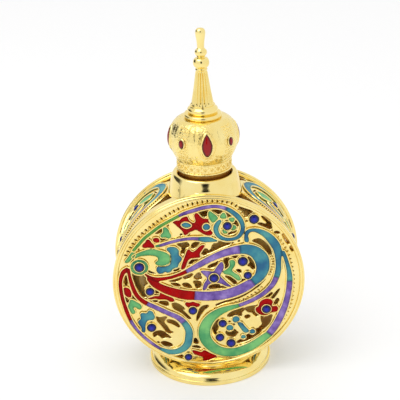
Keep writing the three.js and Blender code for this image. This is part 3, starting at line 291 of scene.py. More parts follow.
# Pierced places of a panel, as outlines, a long slot with its widths, and small round holes
PIERCINGS = [
    [(-16.5, 17.6), (-14.4, 19), (-14.5, 18.2)], [(-15.2, 15.6), (-13.3, 15.8), (-13.4, 15.3), (-15, 15.1)],
    [(-2.4, 24.6), (-1.2, 25.1), (.2, 25.1), (0, 23.1), (-.8, 22.7), (-1.7, 23.5)],
    [(1.7, 25.1), (3.4, 25.1), (5, 24.6), (3.9, 23.4), (2.7, 24.2)],
    [(6.4, 23.8), (8.1, 22.8), (7.6, 22.4), (6.7, 22.7)],
    [(9.1, 21.7), (9.9, 20.5), (9.7, 19.1), (9, 20.1), (8.6, 21)], [(6.2, 16.2), (9.2, 17.7), (8.5, 16.6)],
    [(-9.7, 13.5), (-7, 14.1), (-5.9, 13), (-6.3, 12.3), (-7.2, 12), (-7.8, 10.2), (-8.6, 10.3), (-8.1, 12),
     (-9.1, 12.8)], [(-4.8, 13.4), (-3.8, 13.9), (-2.6, 13.8), (-3.4, 12.5), (-4.6, 11.8), (-5.2, 12.3)],
    [(-6.1, 6.6), (-5.2, 7.6), (-4, 8.1), (-3.2, 7.9), (-4.5, 7.1), (-5.8, 6.1)],
    [(-2, 9.9), (-1.3, 11.1), (-.4, 11.5), (0, 10.5), (-.5, 9.6), (-1.3, 9.2)],
    [(1.8, 12.9), (4, 13.9), (6.5, 13.5), (7.3, 12.9), (4.5, 11.8), (2, 10.6), (.2, 9.9), (-.1, 10.3),
     (1.2, 11.3)], [(-13, .5), (-10.5, 1.2), (-8.6, 1.7), (-9.6, .7), (-11, .1)],
    [(-8.2, 2), (-6.4, 2.6), (-5, 2.6), (-6.4, 1.2), (-8, 1)],
    [(-4.7, 1.4), (-3, 3.1), (-2.6, 1.6), (-2.2, .9), (-3.8, .5)],
    [(-12.2, -.4), (-10.5, -.5), (-9.2, -1.3), (-9.6, -1.7), (-11.4, -1.2)],
    [(-8.4, -.7), (-7, -.6), (-6, -1.5), (-5.6, -2.5), (-7.6, -2), (-8.4, -1.5)],
    [(-4.9, 0), (-3.3, .1), (-2.6, -.6), (-2.6, -2), (-3.9, -2.7), (-4.2, -1.6)],
    [(.3, -1.5), (1.3, -.9), (3.3, -.8), (3.4, -2.2), (6, -2.2), (5.9, -2.6), (3, -2.9), (0, -2.9)],
    [(0, 4.6), (1.5, 4.8), (2.6, 5.6), (3.3, 6.9), (2.6, 6.4), (1.2, 5.9), (0, 5.2)],
    [(5.2, 7.7), (6.4, 8.2), (6.6, 6.8), (6.1, 5.4), (5.2, 4.2)],
    [(7.4, 8.7), (9.6, 8.9), (8.8, 7.6), (8.2, 8)],
    [(12.9, 8.2), (14.2, 7), (14.9, 5.3), (14.9, 3.5), (13.6, 4.4), (12.7, 5), (13.6, 6)],
    [(9, 3.6), (10.4, 3.4), (10.3, 2.3), (9.4, 2.8)],
    [(5.4, 1.6), (7.2, .9), (8.5, -.4), (9.1, -1.5), (8, -1.6), (7.4, -.6)],
    [(10.3, 0), (11.4, -.1), (12.4, .2), (10.6, -1)],
    [(-24, 4.4), (-21.2, 3.9), (-20.4, 2.2), (-19.3, .4), (-20.2, -.5), (-21.2, -1.5), (-20.8, -3.9),
     (-20.2, -4.7), (-21.3, -5), (-22.4, -3.4), (-23.6, -.8), (-24.2, 1.8)],
    [(-19.4, 4.5), (-18, 3.7), (-17, 3.3), (-19, 3.8)], [(-11.3, 4.6), (-9.4, 5), (-9.8, 4.5), (-11, 3.9)],
    [(-17.1, -2.6), (-16.3, -2.8), (-16.4, -3.8), (-17.1, -3.7)],
    [(-18.6, -6.3), (-17.2, -6.2), (-16.9, -7.1), (-18, -6.9)],
    [(-16.5, -7.3), (-15.3, -6.8), (-13.6, -7.2), (-13.5, -8.6), (-15, -8.2)],
    [(-12, -7.6), (-10.6, -7.9), (-9, -9), (-8.1, -10.3), (-9, -10.2), (-7.2, -12.5), (-6.2, -13.8),
     (-7.2, -13.6), (-9, -11.6), (-11.6, -9.9), (-12, -8.8)],
    [(-11.5, -5.3), (-8, -6.3), (-8.4, -6.9), (-10.5, -6.3)],
    [(-3.1, -10.1), (-2, -9.2), (-.4, -9), (-.7, -9.9), (-1.7, -10.6), (-2.6, -11.8), (-3.4, -13.3),
     (-4.3, -14.7), (-4.1, -12.8), (-3.5, -11.3)],
    [(14.3, 13.6), (15.6, 14.2), (16.8, 14.1), (18.7, 12.4), (19.9, 10.3), (20.2, 8.6), (19.5, 8.7),
     (17.6, 11.4), (15.8, 12.7)],
    [(9.9, 25.7), (11.8, 25), (14.5, 23.8), (13.2, 22.9), (12.6, 22), (11.8, 23.2), (10.7, 24.5)],
    [(17.2, 22.2), (18.4, 21.6), (19.8, 20.3), (20.5, 18), (19.9, 17.5), (18.2, 18.4), (16, 19.5), (17, 19.8),
     (18.6, 19.2), (19, 19.9), (18, 20.9)], [(21.3, 16.5), (22.5, 16.6), (23.1, 15.8), (22.2, 15.9)],
    [(23.8, 15.7), (24.4, 15.2), (25.4, 13.8), (26.2, 12.4), (25.6, 12), (24.6, 13.6)],
    [(26.5, 11.4), (27.4, 9.6), (27, 9.3), (26.4, 10.5)],
    [(-26.9, 3.3), (-26.3, 1.5), (-26.5, -.4), (-27.1, .2), (-27.3, 1.8)],
    [(-26.9, -4.6), (-26.3, -6.5), (-26.8, -6.7), (-27.2, -5.4)],
    [(-24.9, -4.2), (-23.7, -5.6), (-24.3, -5.5)],
    [(-17.3, -12.4), (-16.6, -13), (-14.2, -12.6), (-14.8, -13.9), (-15.2, -14.8), (-14, -16.5), (-13.3, -18),
     (-12.2, -18.5), (-12.9, -18.9), (-14, -18.7), (-15, -17.4), (-16.2, -15.5), (-17.3, -14)],
    [(-14, -13.8), (-12.4, -14), (-11, -14.9), (-10, -16.6), (-10.2, -16.9), (-11.5, -16), (-12.8, -15.2),
     (-13.9, -14.8)],
    [(-18.7, -18.6), (-17, -17.8), (-15.2, -18.3), (-13.4, -20.2), (-13, -20.8), (-14.3, -20.3), (-16, -20.7),
     (-16.6, -19.8), (-17.6, -19.4), (-18.6, -20.2)],
    [(-16.4, -22.2), (-15, -21.9), (-13, -22.9), (-12.7, -23.7), (-14, -23.9), (-15.5, -23.4)],
    [(1, -18.7), (.9, -17.3), (1.6, -15.5), (2.6, -14.4), (2.8, -15.8), (2.6, -17.1), (2.2, -18.4)],
    [(5.8, -13.2), (6.8, -12.1), (8.9, -11), (10.9, -10.5), (11.4, -11.2), (10.4, -12.3), (10.1, -13.5),
     (8.4, -12.9), (6.8, -13.7)],
    [(11.6, -10.6), (13.8, -10), (16, -10), (15.3, -11.4), (16.1, -13.2), (15.1, -13.7), (14.1, -12.4),
     (12.5, -12.1)],
    [(16.9, -13.6), (18.6, -14.2), (20.3, -13.4), (19.8, -16.1), (18.1, -18.1), (17, -18.9), (16.2, -17.9),
     (17.3, -16.9), (17, -15.5)],
    [(14.7, -18.8), (16, -18.3), (16.7, -19.4), (14.4, -21.5), (11.5, -22.9), (8.8, -23.6), (9.1, -22.8),
     (11.3, -21.6), (12.4, -20.4)],
    [(5.2, -19), (6.3, -18.7), (8.1, -18.4), (8.4, -19.2), (9.2, -19.5), (8.6, -20.3), (7.8, -21.2),
     (5.6, -20.6)],
    [(.8, -16.2), (1.6, -14.9), (2.5, -14.2), (2.9, -15.4), (2, -16.7), (1.4, -18.1), (2.1, -19.5),
     (1.3, -19.9)], [(11.3, -13.8), (12.5, -13.1), (13.2, -13.8), (12.1, -14.6)],
    [(18, -7.2), (19.4, -6), (20.5, -5.1), (20.1, -6.1), (18.9, -7.2)],
    [(19.8, -7.8), (21.2, -5.8), (22.9, -3.9), (22.6, -4.9), (21.4, -6.8), (20.2, -8.1)],
    [(21.1, -9.6), (21.5, -8.4), (22.2, -7.4), (22.6, -8.1), (22, -9.1), (21.6, -10)],
    [(-5, -21), (-4, -23.2), (-5.5, -22.9)], [(-6.3, -24.3), (-4.5, -24), (-3.3, -25)],
    [(-11.9, -27.7), (-9.7, -27.2), (-9.5, -28.3)],
]
LONG_SLOT = [(2, -9.2, .7), (5, -8, .6), (9, -6.7, .6), (13, -4.6, .5), (16, -2.3, .6), (18.3, .3, .5)]
PINHOLES = [
    (-12.5, 20.3), (-8.3, 16.8), (-5.9, 17.2), (-22.2, 12.3), (5.2, 21.9), (8, 13.3), (10, 13.8),
    (6.4, -15.4), (7.7, -16.5), (-17.3, -22.1), (-18.5, -10.8),
]
PINHOLE_RADIUS = 0.42

# Rows of beads on a panel: between the nicks along the crest, inside the hook, and along its outer arm
CREST_BEADS = [
    (-26.2, 10.2), (-24.5, 13), (-22.4, 15.8), (-20, 18.2), (-17.4, 20.3), (-15, 22.1), (-12.3, 23.9),
    (-9.4, 25.5), (-6.5, 26.8), (-3.3, 27.5), (-.3, 27.9), (2.8, 28), (6, 27.7), (8.8, 26.5), (10.5, 24.6),
    (11.7, 22.6), (12.4, 20.6),
]
INNER_BEADS = [
    [(20.4, 7.9), (20.8, 6.4), (20.8, 5), (20.3, 3.2), (19.6, 1.4)],
    [(17.1, -3.1), (14.7, -5.2), (11.8, -7), (8.6, -8.2)],
]
ARM_BEADS = [
    (20.5, 17), (22.2, 15), (24, 12.3), (25.6, 9), (26.6, 5.5), (27.1, 2.5), (27.4, -1), (27.2, -5),
    (26.7, -9), (25.3, -12.8), (23.6, -16), (21.4, -19.4), (18.8, -22.1),
]

# Nicks beside the beads, as length and width: on the crest, then in the small rows
NICK_PITCH = 1.55
NICK_SIZE = (1.3, 0.42)
SMALL_NICK_PITCH = 1.45
SMALL_NICK_SIZE = (0.75, 0.32)

# Drawings of the upper half of a side wall, as round the drum from its top, then towards the back. The lower
# half is the upper one turned over about the wall's middle.
SIDE_CHAINS = [
    [("green", [
        (38.2, -5, 1), (36.6, -.8, 1.2), (34.2, 3.4, 1.2), (30.5, 6.8, 1.1), (26, 8.3, 1.1),
        (21.5, 8.6, 1.3)]),
     ("blue", [
        (17.6, 7.8, 1.7), (14.9, 5.6, 2.1), (14.1, 2.6, 2.3), (14.8, -.6, 2.2), (17, -3.4, 1.9),
        (20.2, -4.9, 1.5)]),
     ("violet", [
        (24, -5.6, 1.2), (28.5, -6.1, 1.1)]),
     ("blue", [
        (32.5, -6.8, 1.2), (37, -8, .9)])],
    [("violet", [
        (37.5, 6.6, 1.2), (40.6, 3.4, 1.8), (43, -.6, 2), (43.9, -4.8, 1.4)])],
]
SIDE_LEAVES = {
    "green": [
        [(17.4, 2.4), (19.4, 4), (22.2, 4.6), (24.6, 3.6), (23.6, 2), (21.6, .6), (19.2, 0)],
        [(29.6, .6), (32, 1.6), (34.2, .4), (35.6, -2.6), (33.6, -3.4), (31.2, -2)]],
    "blue": [
        [(21.4, -.6), (23.6, -.2), (25.6, -.9), (28.6, -1.2), (30, -2.8), (27.4, -3.4), (24, -2.8)],
        [(26.6, 5.9), (28.6, 5.6), (30.6, 4.2), (31.4, 2.4), (29.6, 2.8), (27.8, 3.8)]],
}
SIDE_STONES = [(25.2, 2, 1.3), (34.6, -5, 1.1)]
SIDE_PIERCINGS = [
    [(10, -2.6), (11.8, -3.2), (14.4, -5.6), (17, -6.9), (19.4, -7.7), (20.4, -8.8), (10, -8.8)],
    [(19, -8.7), (24, -8.8), (29, -8.9), (24, -8)], [(10.4, 4.6), (11.6, 6.8), (14.8, 9.2), (9.8, 9.2)],
    [(16.2, 1.4), (16.6, 2.8), (17.2, 4.4), (18, 4.8), (17, 2.6)],
    [(18.4, -1.6), (21.4, -2), (22.6, -3.6), (20.4, -3.4)], [(20, 6.2), (24.6, 6.6), (25.4, 5.6), (22, 5.6)],
    [(28.4, 1.2), (28.6, 2.4), (27.4, 2.6), (27.4, .6)], [(30.4, -4.2), (33, -4.6), (32.6, -5.4), (29.6, -5)],
    [(32.6, 3.8), (34.4, 1.6), (35.4, -.4), (34.2, 1)],
    [(38.8, 3.2), (40.8, .6), (41.6, -2.6), (39.6, -2.8), (38.4, .6)], [(34, 7.8), (36.6, 8.8), (35.2, 5.6)],
]
SIDE_BEADS = [(13, -3.6), (15.4, -5.2), (18.6, -6.4), (22, -7), (26, -7.4), (30, -7.9), (34, -8.6)]
SIDE_MIDDLE = 45.5

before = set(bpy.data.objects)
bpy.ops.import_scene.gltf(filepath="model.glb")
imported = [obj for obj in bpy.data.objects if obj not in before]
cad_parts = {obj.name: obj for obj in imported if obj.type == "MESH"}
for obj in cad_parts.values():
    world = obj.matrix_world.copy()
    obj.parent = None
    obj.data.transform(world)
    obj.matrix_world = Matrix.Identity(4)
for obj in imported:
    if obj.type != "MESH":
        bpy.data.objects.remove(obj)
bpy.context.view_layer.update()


# Flat drawings
def smooth(points, steps, closed=False):
    """Points on a smooth line through the given ones, steps of them to a span."""
    points = np.array(points, float)
    if closed:
        padded = np.vstack([points[-1], points, points[0], points[1]])
    else:
        padded = np.vstack([2 * points[0] - points[1], points, 2 * points[-1] - points[-2]])
    share = np.linspace(0, 1, steps, endpoint=False)[:, None]
    line = []
    for a, b, c, d in zip(padded, padded[1:], padded[2:], padded[3:]):
        line.append((2 * b + (c - a) * share + (2 * a - 5 * b + 4 * c - d) * share ** 2
                     + (3 * b - a - 3 * c + d) * share ** 3) / 2)
    if not closed:
        line.append(points[-1:])
    return np.vstack(line)


def evened(line, spacing, closed=True, ease=0):
    """The same line with its points at an even spacing, and its corners eased."""
    ends = np.vstack([line, line[:1]]) if closed else line
    lengths = np.linalg.norm(np.diff(ends, axis=0), axis=1)
    along = np.concatenate([[0], np.cumsum(lengths)])
    count = max(8, round(along[-1] / spacing))
    places = np.linspace(0, along[-1], count, endpoint=not closed)
    line = np.column_stack([np.interp(places, along, column) for column in ends.T])
    for _ in range(ease):
        eased = (np.roll(line, 1, axis=0) + 2 * line + np.roll(line, -1, axis=0)) / 4
        line = eased if closed else np.vstack([line[:1], eased[1:-1], line[-1:]])
    return line


def circle(x, y, radius, steps=24):
    """A round outline, anticlockwise."""
    turns = np.linspace(0, 2 * math.pi, steps, endpoint=False)
    return np.column_stack([x + radius * np.cos(turns), y + radius * np.sin(turns)])


def lifted(line, height):
    """Flat places at one height, or each at its own."""
    return np.column_stack([line, np.broadcast_to(height, len(line))])


def area_of(line):
    """The area inside a closed line, negative where the line runs clockwise."""
    after = np.roll(line, -1, axis=0)
    return (line[:, 0] * after[:, 1] - line[:, 1] * after[:, 0]).sum() / 2


def across_of(line, closed=True):
    """Unit vectors square to a line, towards its right, at each of its points."""
    ahead = np.roll(line, -1, axis=0) - np.roll(line, 1, axis=0) if closed else np.gradient(line, axis=0)
    ahead /= np.maximum(np.linalg.norm(ahead, axis=1, keepdims=True), 1e-9)
    return np.column_stack([ahead[:, 1], -ahead[:, 0]])


def inside(places, outline):
    """Whether each place lies inside the outline."""
    x, y = places[:, 0:1], places[:, 1:2]
    start, end = outline, np.roll(outline, -1, axis=0)
    crosses = (start[:, 1] > y) != (end[:, 1] > y)
    rise = np.where(end[:, 1] == start[:, 1], 1, end[:, 1] - start[:, 1])
    at = start[:, 0] + (y - start[:, 1]) * (end[:, 0] - start[:, 0]) / rise
    return (crosses & (x < at)).sum(axis=1) % 2 == 1


def inside_any(places, outlines):
    found = np.zeros(len(places), bool)
    for outline in outlines:
        found |= inside(places, outline)
    return found


def within(places, loops):
    """Whether each place lies in the region that the loops bound, holes left out."""
    found = np.zeros(len(places), bool)
    for loop in loops:
        found ^= inside(places, loop)
    return found


def border_distance(places, loops):
    """How far each place is from the nearest loop."""
    nearest = np.full(len(places), 1e3)
    for start in loops:
        along = np.roll(start, -1, axis=0) - start
        length = np.maximum((along ** 2).sum(axis=1), 1e-12)
        offset = places[:, None, :] - start[None]
        share = np.clip((offset * along).sum(axis=2) / length, 0, 1)
        gap = np.linalg.norm(offset - share[..., None] * along, axis=2).min(axis=1)
        nearest = np.minimum(nearest, gap)
    return nearest


def triangulated(lines, extra=()):
    """Places and triangles of a mesh that has the closed lines as edges, and the extra points."""
    places = []
    edges = []
    for line in lines:
        first = len(places)
        places.extend(Vector(place) for place in line)
        edges.extend((first + i, first + (i + 1) % len(line)) for i in range(len(line)))
    places.extend(Vector(place) for place in extra)
    found = delaunay_2d_cdt(places, edges, [], 0, 1e-5)
    return np.array([tuple(place) for place in found[0]]), np.array(found[2])


def borders_of(triangles):
    edges = {(int(a), int(b)) for triangle in triangles for a, b in zip(triangle, np.roll(triangle, -1))}
    return sorted(edge for edge in edges if edge[::-1] not in edges)


def loops_of(places, triangles, least_area=0.06):
    """The closed lines round the triangles, without tiny ones."""
    following = {}
    for a, b in borders_of(triangles):
        following.setdefault(a, []).append(b)
    loops = []
    while following:
        start = min(following)
        loop = [start]
        while True:
            ways = following[loop[-1]]
            step = ways.pop()
            if not ways:
                del following[loop[-1]]
            if step == start or step not in following:
                break
            loop.append(step)
        if abs(area_of(places[loop])) > least_area:
            loops.append(places[loop])
    return loops


def region(kept, cut=()):
    """The loops round what lies in any kept outline and in none of those that are cut."""
    places, triangles = triangulated([*kept, *cut])
    middles = places[triangles].mean(axis=1)
    chosen = inside_any(middles, kept) & ~inside_any(middles, cut)
    return loops_of(places, triangles[chosen])


def sheet(loops, spacing, bevel):
    """The region as triangles with even points inside it, and each point's distance to the border."""
    low = np.min([loop.min(axis=0) for loop in loops], axis=0)
    high = np.max([loop.max(axis=0) for loop in loops], axis=0)
    rows = np.arange(low[1], high[1], spacing * 0.866)
    grid = np.array([(x + (i % 2) * spacing / 2, y) for i, y in enumerate(rows)
                     for x in np.arange(low[0], high[0], spacing)]).reshape(-1, 2)
    grid = grid[within(grid, loops)]
    grid = grid[border_distance(grid, loops) > bevel + 0.45 * spacing]
    steps = np.vstack([loop - bevel * across_of(loop) for loop in loops])
    steps = steps[within(steps, loops)]
    steps = steps[border_distance(steps, loops) > 0.8 * bevel]
    places, triangles = triangulated(loops, [*steps, *grid])
    middles = places[triangles].mean(axis=1)
    return places, triangles[within(middles, loops)], border_distance(places, loops)


def widened(line, amount):
    """A closed line moved outwards."""
    return line + amount * np.sign(area_of(line)) * across_of(line)


def rounded(points, margin=0):
    """A smooth outline round the points, moved outwards by the margin."""
    line = smooth(points, 4, True)
    return widened(line, margin) if margin else line


def nicks(line, length, width):
    """Slots across a line of places, one at each."""
    corners = [(-0.5, -0.3), (-0.5, 0.3), (-0.3, 0.5), (0.3, 0.5),
               (0.5, 0.3), (0.5, -0.3), (0.3, -0.5), (-0.3, -0.5)]
    slots = []
    for place, out in zip(line, across_of(line, False)):
        way = np.array([-out[1], out[0]])
        slots.append(place + np.array([length * a * out + width * b * way for a, b in corners]))
    return slots


def scroll_outlines(chain, steps=6, margin=SCROLL_MARGIN):
    """The outline of each scroll of a chain. Neighbours share the edge where they meet."""
    points = []
    cuts = [0]
    for _, more in chain:
        points.extend(more)
        cuts.append(len(points) - 1)
    line = smooth(points, steps)
    out = (line[:, 2:] / 2 + margin) * across_of(line[:, :2], False)
    right, left = line[:, :2] + out, line[:, :2] - out
    return [np.vstack([right[a * steps:b * steps + 1], left[a * steps:b * steps + 1][::-1]])
            for a, b in zip(cuts, cuts[1:])]


def chained_outlines(chains):
    """The name and the outline of each scroll of the chains."""
    named = []
    for chain in chains:
        named.extend(zip([name for name, _ in chain], scroll_outlines(chain)))
    return named


def chain_borders(chains):
    """The loops round each whole chain."""
    return [loop for chain in chains for loop in region(scroll_outlines(chain))]


def leaf_borders(lines, cut):
    """The loops round what each line leaves outside those that are cut."""
    return [loop for line in lines for loop in region([line], cut)]


def stone_seats(stones):
    """The round places that the stones' bezels cover."""
    return [circle(x, y, radius + STONE_MARGIN) for x, y, radius in stones]


def enamel_fields(scrolls, leaves, inlays, seats):
    """Each name's fields of enamel, as loops and how much lower than a scroll they lie."""
    scroll_lines = [line for _, line in scrolls]
    fields = {}
    for name, line in scrolls:
        fields.setdefault(name, []).append((region([line], seats), 0.0))
    for name, lines in leaves.items():
        for line in lines:
            fields.setdefault(name, []).append((region([line], scroll_lines + inlays + seats), LEAF_DROP))
    for line in inlays:
        fields["leaf_blue"].append((region([line], scroll_lines + seats), LEAF_DROP))
    return fields


# Closed bodies, gathered in one mesh
class Work:
    def __init__(self):
        self.places = []
        self.faces = []
        self.insets = []
        self.count = 0

    def add(self, places, faces, insets=None):
        self.faces.extend(tuple(int(i) + self.count for i in face) for face in faces)
        self.places.append(np.asarray(places, float))
        self.insets.append(np.ones(len(places)) if insets is None else insets)
        self.count += len(places)


def add_slab(work, lay, loops, spacing, bevel, low, top, fade=0.7):
    """A plate over the loops, from low up to top(distance to the border). Its inset grows over the fade."""
    places, triangles, distance = sheet(loops, spacing, bevel)
    count = len(places)
    upper = lay(lifted(places, top(distance)))
    lower = lay(lifted(places, low))
    walls = [(b, a, a + count, b + count) for a, b in borders_of(triangles)]
    faces = [*triangles, *(triangles[:, ::-1] + count), *walls]
    inset = np.clip(distance / fade, 0, 1) if fade else np.ones(count)
    work.add(np.vstack([upper, lower]), faces, np.concatenate([inset, np.zeros(count)]))


def add_tube(work, lay, path, radius, height, closed=True, sides=6):
    """A round wire along the path, with its middle at the height."""
    across = across_of(path, closed)
    rings = [lifted(path + across * radius * math.cos(turn), height + radius * math.sin(turn))
             for turn in np.linspace(0, 2 * math.pi, sides, endpoint=False)]
    places = np.stack(rings, axis=1).reshape(-1, 3)
    count = len(path)
    faces = []
    for i in range(count if closed else count - 1):
        for k in range(sides):
            near, far = i * sides, (i + 1) % count * sides
            faces.append((near + k, far + k, far + (k + 1) % sides, near + (k + 1) % sides))
    if not closed:
        faces.append(tuple(range(sides)))
        faces.append(tuple(reversed(range((count - 1) * sides, count * sides))))
    work.add(lay(places), faces)


def turned_places(profile, sides):
    """Places and faces of a body turned about Z.

    The profile runs anticlockwise, and may start and end on the axis.
    """
    profile = np.array(profile, float)
    turns = np.linspace(0, 2 * math.pi, sides, endpoint=False)
    on_axis = profile[0, 0] == 0
    radii, heights = (profile[1:-1] if on_axis else profile).T
    count = len(radii)
    places = np.stack([np.outer(np.cos(turns), radii), np.outer(np.sin(turns), radii),
                       np.tile(heights, (sides, 1))], axis=2).reshape(-1, 3)
    total = len(places)
    starts = [(here, (here + count) % total) for here in range(0, total, count)]
    faces = []
    for here, there in starts:
        for i in range(count - 1 if on_axis else count):
            k = (i + 1) % count
            faces.append((here + i, there + i, there + k, here + k))
    if on_axis:
        places = np.vstack([places, [0, 0, profile[0, 1]], [0, 0, profile[-1, 1]]])
        for here, there in starts:
            faces.append((total, there, here))
            faces.append((total + 1, here + count - 1, there + count - 1))
    return places, faces


def turned_work(profile, sides=128, shape=None):
    work = Work()
    places, faces = turned_places(profile, sides)
    work.add(places if shape is None else shape(places), faces)
    return work


def arc(r, z, across, up, start, end, steps=8):
    """Profile points on an ellipse about (r, z), between two angles in degrees."""
    turns = np.radians(np.linspace(start, end, steps + 1))
    return [(r + across * math.cos(turn), z + up * math.sin(turn)) for turn in turns]


def curve(points, steps=6):
    return [tuple(place) for place in smooth(points, steps)]


def between(low, high, share):
    return low + share * (high - low)


# From a drawing to its place
def on_front(places):
    return np.column_stack([places[:, 0], -places[:, 2], AXIS_HEIGHT + places[:, 1]])


def on_back(places):
    return on_front(places) * (-1, -1, 1)


def on_right(places):
    turns = places[:, 0] / WALL_RADIUS
    return np.column_stack([places[:, 2] * np.sin(turns), places[:, 1],
                            AXIS_HEIGHT + places[:, 2] * np.cos(turns)])


def on_left(places):
    return on_right(places) * (-1, -1, 1)


def raised(lay, base, rise=0):
    """The same placing for drawings that are moved up by rise, and whose heights count from base."""
    return lambda places: lay(places + (0, rise, base))


# Node trees
class Tree:
    """A node tree, and short ways to add nodes to it."""

    def __init__(self, tree):
        self.nodes = tree.nodes
        self.links = tree.links

    def feed(self, socket, value):
        """Links an output to the socket, or sets the socket's own value."""
        if isinstance(value, bpy.types.NodeSocket):
            self.links.new(value, socket)
        else:
            socket.default_value = value

    def add(self, kind, inputs=None, output=0, **settings):
        """Adds a node with these settings and inputs, and gives back one of its outputs."""
        node = self.nodes.new(kind)
        for name, value in settings.items():
            setattr(node, name, value)
        for name, value in (inputs or {}).items():
            self.feed(node.inputs[name], value)
        return node.outputs[output]

    def combine(self, operation, first, second):
        return self.add("ShaderNodeMath", {0: first, 1: second}, operation=operation)

    def noise(self, scale, detail=3):
        place = self.add("ShaderNodeTexCoord", output="Object")
        return self.add("ShaderNodeTexNoise", {"Scale": scale, "Detail": detail, "Vector": place}, "Fac")

    def inset(self):
        """How far inside its border a place lies, from 0 to 1."""
        return self.add("ShaderNodeAttribute", output="Fac", attribute_name="inset")

    def ramp(self, factor, *stops):
        colour = self.add("ShaderNodeValToRGB", {"Fac": factor}, "Color")
        elements = colour.node.color_ramp.elements
        for element, (position, shade) in zip(elements, (stops[0], stops[-1])):
            element.position = position
            element.color = (*shade, 1)
        for position, shade in stops[1:-1]:
            elements.new(position).color = (*shade, 1)
        return colour

    def mix(self, factor, first, second, blend="MIX"):
        mixed = self.add("ShaderNodeMix", None, "Result", data_type="RGBA", blend_type=blend)
        for name, value in (("Factor", factor), ("A", first), ("B", second)):
            self.feed(mixed.node.inputs[name], value)
        return mixed

    def bump(self, shader, height, distance):
        normal = self.add("ShaderNodeBump", {"Strength": 1, "Distance": distance, "Height": height})
        self.feed(shader["Normal"], normal)


def grey(value):
    return (value, value, value)


# Materials
def material_of(name, **settings):
    """A material, its tree and the inputs of its shader."""
    material = bpy.data.materials.new(name)
    material.use_nodes = True
    shader = material.node_tree.nodes["Principled BSDF"].inputs
    for socket, value in settings.items():
        shader[socket.replace("_", " ")].default_value = value
    return material, Tree(material.node_tree), shader


def gilt(name, bump_scale, bump_depth, rough, painted_shade_edges=False):
    """Gilt metal. Where asked, painted shade turns it to dull brass down the cut edges and over the back,
    standing in for shadow inside the openings.
    """
    material, tree, shader = material_of(name, Metallic=1.0)
    colour = tree.ramp(tree.noise(140), (0.3, GOLD_DEEP), (0.7, GOLD_PALE))
    roughness = tree.ramp(tree.noise(900), (0.3, grey(rough * 0.7)), (0.75, grey(rough * 1.4)))
    if painted_shade_edges:
        # painted shade: the gold fades to dull brass down the cut edges and is dull brass on the back
        share = tree.ramp(tree.inset(), (0.55, grey(0)), (0.97, grey(1)))
        colour = tree.mix(share, (*PAINTED_SHADE_BRASS, 1), colour)
        roughness = tree.mix(share, (*grey(0.5), 1), roughness)
    tree.feed(shader["Base Color"], colour)
    tree.feed(shader["Roughness"], roughness)
    tree.bump(shader, tree.noise(bump_scale, 4), bump_depth)
    return material


def enamel(name, stops, scale=420):
    """Fired enamel: its colour drifts, with painted shade along the wires and a painted sheen in the middle
    of each field.
    """
    material, tree, shader = material_of(name, Specular_IOR_Level=0.08, Coat_Weight=0.05, Coat_Roughness=0.05)
    drift = tree.noise(scale, 5)
    # painted shade darkens the enamel next to its wires, and a painted sheen (above 1) lightens the middle of
    # each field
    shade = tree.ramp(tree.inset(), (0.3, (0.6, 0.6, 0.66)), (0.9, grey(1.12)))
    tree.feed(shader["Base Color"], tree.mix(1, tree.ramp(drift, *stops), shade, "MULTIPLY"))
    tree.feed(shader["Roughness"], tree.ramp(tree.noise(1500, 2), (0.3, grey(0.12)), (0.7, grey(0.26))))
    tree.bump(shader, drift, 0.00012)
    return material


def polished_stone(name, dark, bright):
    material, tree, shader = material_of(name, Coat_Weight=0.25, Coat_Roughness=0.02, Specular_IOR_Level=0.25)
    # painted shade darkens each stone towards its rim, and a painted glow brightens its middle
    tree.feed(shader["Base Color"], tree.ramp(tree.inset(), (0.1, dark), (0.95, bright)))
    tree.feed(shader["Roughness"], tree.ramp(tree.noise(1200), (0.3, grey(0.03)), (0.8, grey(0.12))))
    return material


def plain(name, colour, rough, grain_scale, grain_depth, **settings):
    material, tree, shader = material_of(name, Roughness=rough, **settings)
    grain = tree.noise(grain_scale, 5)
    darker = tuple(0.82 * part for part in colour)
    tree.feed(shader["Base Color"], tree.ramp(grain, (0.3, darker), (0.7, colour)))
    tree.bump(shader, grain, grain_depth)
    return material


polished_gold = gilt("polished_gold", 220, 0.00006, 0.07)
# the cast openwork gets painted shade down its cut edges and on its back
cast_gold = gilt("cast_gold", 420, 0.00012, 0.13, painted_shade_edges=True)
chased_gold = gilt("chased_gold", 1000, 0.00024, 0.13)
enamels = {
    "red": enamel("red_enamel", [(0.3, (0.29, 0, 0)), (0.7, (0.44, 0, 0))]),
    "violet": enamel("violet_enamel", [
        (0.32, (0.11, 0.06, 0.28)), (0.5, (0.21, 0.13, 0.43)), (0.68, (0.36, 0.26, 0.60))], 320),
    "blue": enamel("blue_enamel", [
        (0.36, (0.03, 0.13, 0.25)), (0.5, (0.05, 0.23, 0.31)), (0.64, (0.10, 0.35, 0.34))], 150),
    "green": enamel("green_enamel", [(0.36, (0.08, 0.35, 0.14)), (0.64, (0.21, 0.55, 0.19))], 220),
    "line": enamel("line_green_enamel", [(0.3, (0.10, 0.38, 0.08)), (0.7, (0.20, 0.50, 0.10))]),
}
# the cobalt and ruby stones: painted shade at the rim, painted glow in the middle
cobalt_stone = polished_stone("cobalt_stone", (0.001, 0.001, 0.02), (0.012, 0.02, 0.5))
ruby_stone = polished_stone("ruby_stone", (0.07, 0.0, 0.0), (0.34, 0.0, 0.001))
clear_glass = plain("clear_glass", (0.96, 0.98, 0.97), 0.02, 60, 0.00002, Transmission_Weight=1.0, IOR=1.5)
